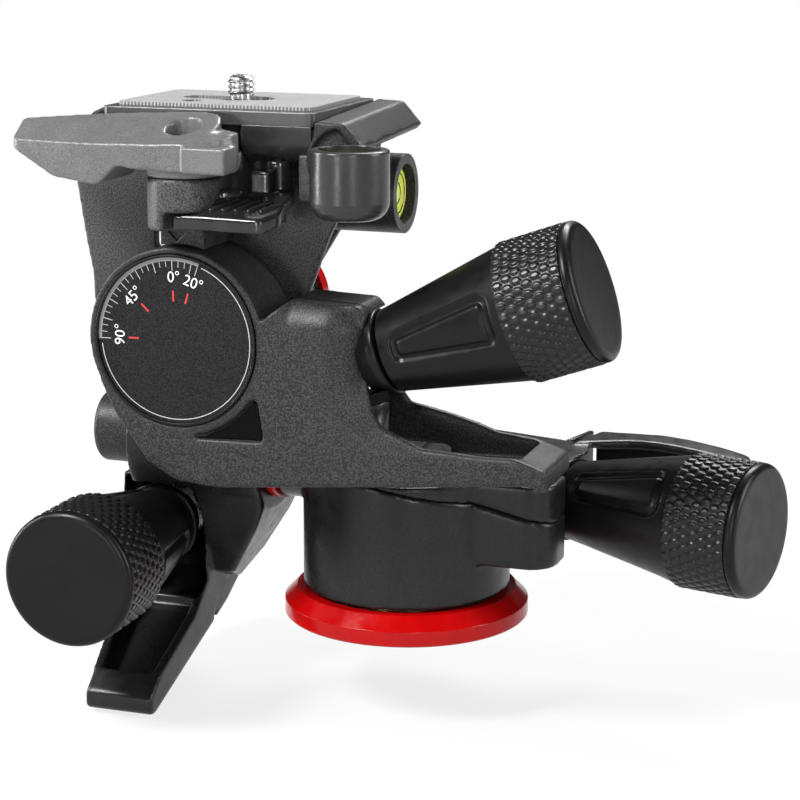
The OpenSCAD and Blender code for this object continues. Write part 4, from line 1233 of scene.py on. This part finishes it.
@dataclass
class Levels:
    """The round bubble level and the tube level."""

    finishes: tuple[Finish, ...] = (Finish.LIQUID, Finish.GLOSS, Finish.BUBBLE)
    dome_h: float = 0.9
    ring_r: float = 3.1
    ring_w: float = 0.3
    round_bubble: tuple[float, float] = (0.34, 2.1)
    tube_bubble: tuple[float, float] = (1.9, 2.2)
    bubble_steps: int = 12

    def build_round(self) -> None:
        """Builds the round vial with its ring and bubble, under a clear dome."""
        low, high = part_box("bubble_vial")
        centre = middle("bubble_vial")
        top = high.z / MM
        bottom = low.z / MM
        r = (high.x - low.x) / 2 / MM
        outer = self.ring_r + self.ring_w
        work = Workpiece()
        dome = arc(top - self.dome_h, 0.0, self.dome_h, r, 10)
        work.turned([(bottom, 0.0), (bottom, r)] + dome, 64)
        inner = self.ring_r
        ring = [(top - 0.16, inner), (top - 0.1, inner), (top - 0.1, outer), (top - 0.22, outer)]
        work.turned(ring, 48, closed=True, part=1)
        work.turned(arc(top - 0.16, 0.0, *self.round_bubble, self.bubble_steps, -1.0), 32, part=2)
        bmesh.ops.transform(work.bm, matrix=Matrix.Rotation(-math.pi / 2, 4, "Y"), verts=work.bm.verts)
        piece = work.finish("round_vial", "platform", "vial", list(self.finishes),
                            Matrix.Translation((centre.x, centre.y, 0)))
        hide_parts("bubble_vial")

    def build_tube(self) -> None:
        """Builds the tube vial with its two rings, its bubble and its dished end face."""
        low, high = (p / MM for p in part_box("tube_vial"))
        centre = middle("tube_vial")
        r = (high.y - low.y) / 2
        end = high.x
        work = Workpiece()
        rim = arc(end - 1.2, r - 1.6, 1.2, 1.55, 8)
        dish = [(end - 0.35, r - 3.4), (end - 0.6, 0.0)]
        work.turned([(low.x, 0.0), (low.x, r - 0.05)] + rim + dish, 72)
        for at, thick, radius in ((end - 0.02, 0.34, r - 2.1), (end - 0.3, 0.2, r - 4.4)):
            inner = radius - self.ring_w
            work.turned([(at - thick, inner), (at, inner), (at, radius), (at - thick, radius)], 64,
                        closed=True, part=1)
        work.turned(arc(end - 2.2, 0.0, *self.tube_bubble, self.bubble_steps, -1.0), 32, part=2)
        piece = work.finish("tube_vial_clear", "platform", "vial", list(self.finishes),
                            Matrix.Translation((0, centre.y, centre.z)))
        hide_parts("tube_vial")

    def build(self) -> None:
        """Builds the vials and dresses their housings."""
        self.build_round()
        self.build_tube()
        dress(Finish.CUP, "bubble_cup")
        dress(Finish.SHELL, "tube_level")


# ---- Stages ----


@dataclass
class Stages:
    """The base and the three stages, whose castings get soft edges."""

    bulge_right: float = 1.6
    bulge_top: float = 82.6
    bulge_bottom: float = 50.0
    bulge_left: float = -19.5
    bulge_front: float = -34.0
    bulge_drop: float = 4.0
    window_r: float = 23.2
    window_depth: float = 0.95
    window_wall: float = 0.6
    window_corners: tuple[tuple[float, float], ...] = ((-22.9, 58.6), (-21.9, 50.4))
    wing_start: float = 6.0
    wing_len: float = 24.0
    wing_taper: float = 0.4
    trough_end: Point = (1.4, 12.6, 20.5)
    trough_end_at: Point = (-11.4, 22.8, 0.0)
    polymers: tuple[str, ...] = ("tilt_shell_cover", "index_block", "tip_end_cap")
    gears: tuple[str, ...] = ("pan_wheel", "tip_wheel", "side_wheel")
    reds: tuple[str, ...] = ("base_ring", "tip_ring", "side_ear_ring")
    brasses: tuple[str, ...] = ("tripod_bush", "pan_bearing")
    steels: tuple[str, ...] = ("base_screws", "pan_retainer", "tip_shaft", "tip_nut", "shell_screws",
                               "side_shaft")

    def bulge(self, x: float, y: float, z: float) -> float:
        """Gives how far the tilt shell's front rolls back near its right and upper edges.

        Args:
            x: a point's place to the right.
            y: its place to the back.
            z: its height.

        Returns:
            The way back in millimetres.
        """
        if y > self.bulge_front or x < self.bulge_left or z < self.bulge_bottom:
            return 0.0
        edge = self.bulge_right + max(0.0, 60.0 - z) * 0.5
        right = max(0.0, 1 - (edge - x) / 9)
        top = max(0.0, 1 - (self.bulge_top - z) / 7)
        share = min(1.0, right * right + top * top)
        share *= min(1.0, (x - self.bulge_left) / 4) * min(1.0, (z - self.bulge_bottom) / 16)
        return self.bulge_drop * share * min(1.0, (self.bulge_front - y) / 3)

    def build_tilt_shell(self) -> None:
        """Builds the tilt shell with its rolled front."""
        mesh = softened("tilt_shell", 0.52, 6)
        for v in mesh.vertices:
            v.co.y += self.bulge(*(v.co / MM)) * MM
        piece = adopt(mesh, "tilt_shell_casting", "tilt_block", [Finish.SHELL], 60)
        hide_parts("tilt_shell")

    def build_window_shade(self) -> None:
        """Builds a near-black sheet on the floor of the window under the dial, as painted shade."""
        dial = middle("dial_plate")
        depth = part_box("tilt_shell")[0].y / MM + self.window_depth
        angles = [math.radians(a) for a in range(-78, -33, 4)]
        rim = [(dial.x + self.window_r * math.cos(a), dial.z + self.window_r * math.sin(a)) for a in angles]
        work = Workpiece()
        ring = [work.bm.verts.new((x, depth, z)) for x, z in rim + list(self.window_corners)]
        edges = [work.bm.edges.new(pair) for pair in zip(ring, ring[1:] + ring[:1])]
        face = bmesh.ops.contextual_create(work.bm, geom=edges)["faces"]
        solid = bmesh.ops.extrude_face_region(work.bm, geom=face)["geom"]
        back = [v for v in solid if isinstance(v, bmesh.types.BMVert)]
        bmesh.ops.translate(work.bm, verts=back, vec=(0, self.window_wall, 0))
        bmesh.ops.recalc_face_normals(work.bm, faces=work.bm.faces)
        work.finish("window_painted_shade", "tilt_block", "shell", [Finish.RECESS])

    def build_pan_wing(self) -> None:
        """Builds the pan housing's upper half, whose wing narrows, and the end wall of its trough."""
        place = Drive("pan").place
        back = place.inverted()
        mesh = softened("pan_upper_shell", 0.5, 8)
        for v in mesh.vertices:
            at = back @ (v.co / MM)
            if at.x > self.wing_start and at.y > 12 and at.z > 0:
                share = min(1.0, (at.x - self.wing_start) / self.wing_len)
                at.z *= 1 - self.wing_taper * share ** 1.6
                v.co = (place @ at) * MM
        piece = adopt(mesh, "pan_upper_shell_casting", "pan_stage", [Finish.CASTING], 60)
        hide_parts("pan_upper_shell")
        work = Workpiece()
        work.bar(self.trough_end, Matrix.Translation(self.trough_end_at), 0.4)
        work.finish("pan_trough_end", "pan_stage", "casting", [Finish.CASTING], place)

    def build(self) -> None:
        """Casts the large shells with soft edges and dresses the other solids."""
        self.build_tilt_shell()
        # the fork's finish is the shell's polymer painted lighter, as painted light
        cast("fork", Finish.FORK, 0.55, 8)
        cast("pan_lower_shell", Finish.CASTING, 0.55, 6)
        cast("tilt_cradle", Finish.CASTING, 0.5, 8)
        self.build_pan_wing()
        self.build_window_shade()
        dress(Finish.SHELL, *self.polymers)
        dress(Finish.GEAR, *self.gears)
        dress(Finish.RED, *self.reds)
        dress(Finish.BRASS, *self.brasses)
        dress(Finish.STEEL, *self.steels)
        dress(Finish.ALLOY, "base_hub")


# ---- Studio ----


@dataclass(frozen=True)
class SoftBox:
    """An area lamp that faces the head."""

    name: str
    at: Point
    size: tuple[float, float]
    power: float

    def hang(self, aim: Vector) -> None:
        """Hangs the lamp.

        Args:
            aim: the point that it faces.
        """
        data = bpy.data.lights.new(self.name, "AREA")
        data.shape = "RECTANGLE"
        data.size, data.size_y = self.size
        data.energy = self.power
        light = bpy.data.objects.new(self.name, data)
        bpy.context.scene.collection.objects.link(light)
        turn = (aim - Vector(self.at)).to_track_quat("-Z", "Y").to_matrix().to_4x4()
        light.matrix_world = Matrix.Translation(self.at) @ turn


@dataclass
class Studio:
    """The camera, the floor and the soft lights."""

    focal_px: float = 2215.676
    width_px: float = 800.0
    sensor: float = 36.0
    azimuth: float = 18.495
    pitch: float = 12.798
    roll: float = 0.269
    eye: Point = (0.164429, -0.497456, 0.171901)
    floor_z: float = -0.0212
    floor_half: float = 3.0
    floor_colour: Colour = (0.6, 0.6, 0.6)
    glow_reach: tuple[float, float] = (0.1, 0.4)
    glow_share: tuple[float, float] = (0.78, 1.0)
    ambient: Colour = (0.9, 0.93, 1.0)
    ambient_level: float = 0.06
    aim: Point = (-0.02, 0.0, 0.06)
    lamps: tuple[SoftBox, ...] = (
        SoftBox("key", (-0.45, -0.56, 0.76), (0.26, 0.26), 16.0),
        SoftBox("low", (-0.24, -0.9, 0.08), (0.1, 0.16), 1.2),
        SoftBox("front", (0.42, -0.8, 0.3), (0.12, 0.5), 3.0),
        SoftBox("side", (0.85, 0.1, 0.4), (0.2, 0.6), 7.0),
        SoftBox("top", (0.05, 0.62, 0.7), (0.5, 0.25), 9.0),
        SoftBox("left", (-0.88, -0.12, 0.25), (0.14, 0.7), 8.0),
    )

    def build_camera(self) -> None:
        """Puts the camera at the photograph's viewing angle."""
        a, p, ro = (math.radians(x) for x in (self.azimuth, self.pitch, self.roll))
        right = Vector((math.cos(a), math.sin(a), 0))
        ahead = Vector((-math.sin(a) * math.cos(p), math.cos(a) * math.cos(p), -math.sin(p)))
        up = Vector((-math.sin(a) * math.sin(p), math.cos(a) * math.sin(p), math.cos(p)))
        x = math.cos(ro) * right + math.sin(ro) * up
        y = -math.sin(ro) * right + math.cos(ro) * up
        data = bpy.data.cameras.new("camera")
        data.sensor_width = self.sensor
        data.lens = self.focal_px * self.sensor / self.width_px
        data.clip_start = 0.01
        camera = bpy.data.objects.new("camera", data)
        bpy.context.scene.collection.objects.link(camera)
        turn = Matrix((x, y, -ahead)).transposed().to_4x4()
        camera.matrix_world = Matrix.Translation(self.eye) @ turn
        bpy.context.scene.camera = camera

    def floor_material(self) -> bpy.types.Material:
        """Makes the floor pale where it is seen, most of all away from the head.

        Returns:
            The floor's material.
        """
        w = Wires("pale_floor")
        w.plain(Base_Color=(*self.floor_colour, 1), Roughness=0.9, Specular_IOR_Level=0.0)
        glow = w.add("ShaderNodeEmission")
        glow.inputs["Color"].default_value = (1, 1, 1, 1)
        path = w.add("ShaderNodeLightPath")
        seen = w.sum("MAXIMUM", path.outputs["Is Camera Ray"], path.outputs["Is Glossy Ray"])
        seen = w.sum("MAXIMUM", seen, path.outputs["Is Transmission Ray"])
        reach = w.add("ShaderNodeVectorMath", operation="LENGTH")
        w.join(w.place, reach.inputs[0])
        share = w.span(reach.outputs["Value"], self.glow_reach, self.glow_share)
        mix = w.add("ShaderNodeMixShader")
        w.join(w.sum("MULTIPLY", seen, share), mix.inputs["Fac"])
        w.join(w.shader.outputs["BSDF"], mix.inputs[1])
        w.join(glow.outputs["Emission"], mix.inputs[2])
        out = next(n for n in w.tree.nodes if n.type == "OUTPUT_MATERIAL")
        w.join(mix.outputs[0], out.inputs["Surface"])
        return w.material

    def build_floor(self) -> None:
        """Lays the plain pale floor."""
        bm = bmesh.new()
        bmesh.ops.create_grid(bm, x_segments=1, y_segments=1, size=self.floor_half,
                              matrix=Matrix.Translation((0, 0, self.floor_z)))
        mesh = bpy.data.meshes.new("floor")
        bm.to_mesh(mesh)
        bm.free()
        mesh.materials.append(self.floor_material())
        floor = bpy.data.objects.new("floor", mesh)
        bpy.context.scene.collection.objects.link(floor)

    def build_world(self) -> None:
        """Fills the surroundings: white where they are seen, softer where they light."""
        world = bpy.data.worlds.new("studio")
        bpy.context.scene.world = world
        world.use_nodes = True
        tree = world.node_tree
        tree.nodes.clear()
        out = tree.nodes.new("ShaderNodeOutputWorld")
        mix = tree.nodes.new("ShaderNodeMixShader")
        path = tree.nodes.new("ShaderNodeLightPath")
        seen = tree.nodes.new("ShaderNodeMath")
        seen.operation = "MAXIMUM"
        tree.links.new(path.outputs["Is Camera Ray"], seen.inputs[0])
        tree.links.new(path.outputs["Is Transmission Ray"], seen.inputs[1])
        tree.links.new(seen.outputs[0], mix.inputs["Fac"])
        for slot, colour, level in ((1, self.ambient, self.ambient_level), (2, (1, 1, 1), 1.0)):
            light = tree.nodes.new("ShaderNodeBackground")
            light.inputs["Color"].default_value = (*colour, 1)
            light.inputs["Strength"].default_value = level
            tree.links.new(light.outputs[0], mix.inputs[slot])
        tree.links.new(mix.outputs[0], out.inputs["Surface"])

    def build(self) -> None:
        """Builds the studio."""
        self.build_camera()
        self.build_floor()
        self.build_world()
        for lamp in self.lamps:
            lamp.hang(Vector(self.aim))
        bpy.context.scene.view_settings.view_transform = "Standard"


def main() -> None:
    """Builds the head's looks and its studio."""
    logging.basicConfig(level=logging.INFO, format="%(message)s")
    Studio().build()
    Stages().build()
    Drive("side", dent_turn=263.6).build()
    Drive("tip", dent_turn=195.0).build()
    Drive("pan", dent_turn=143.0).build()
    Dial().build()
    Clamp().build()
    Levels().build()


if __name__ == "__main__":
    main()
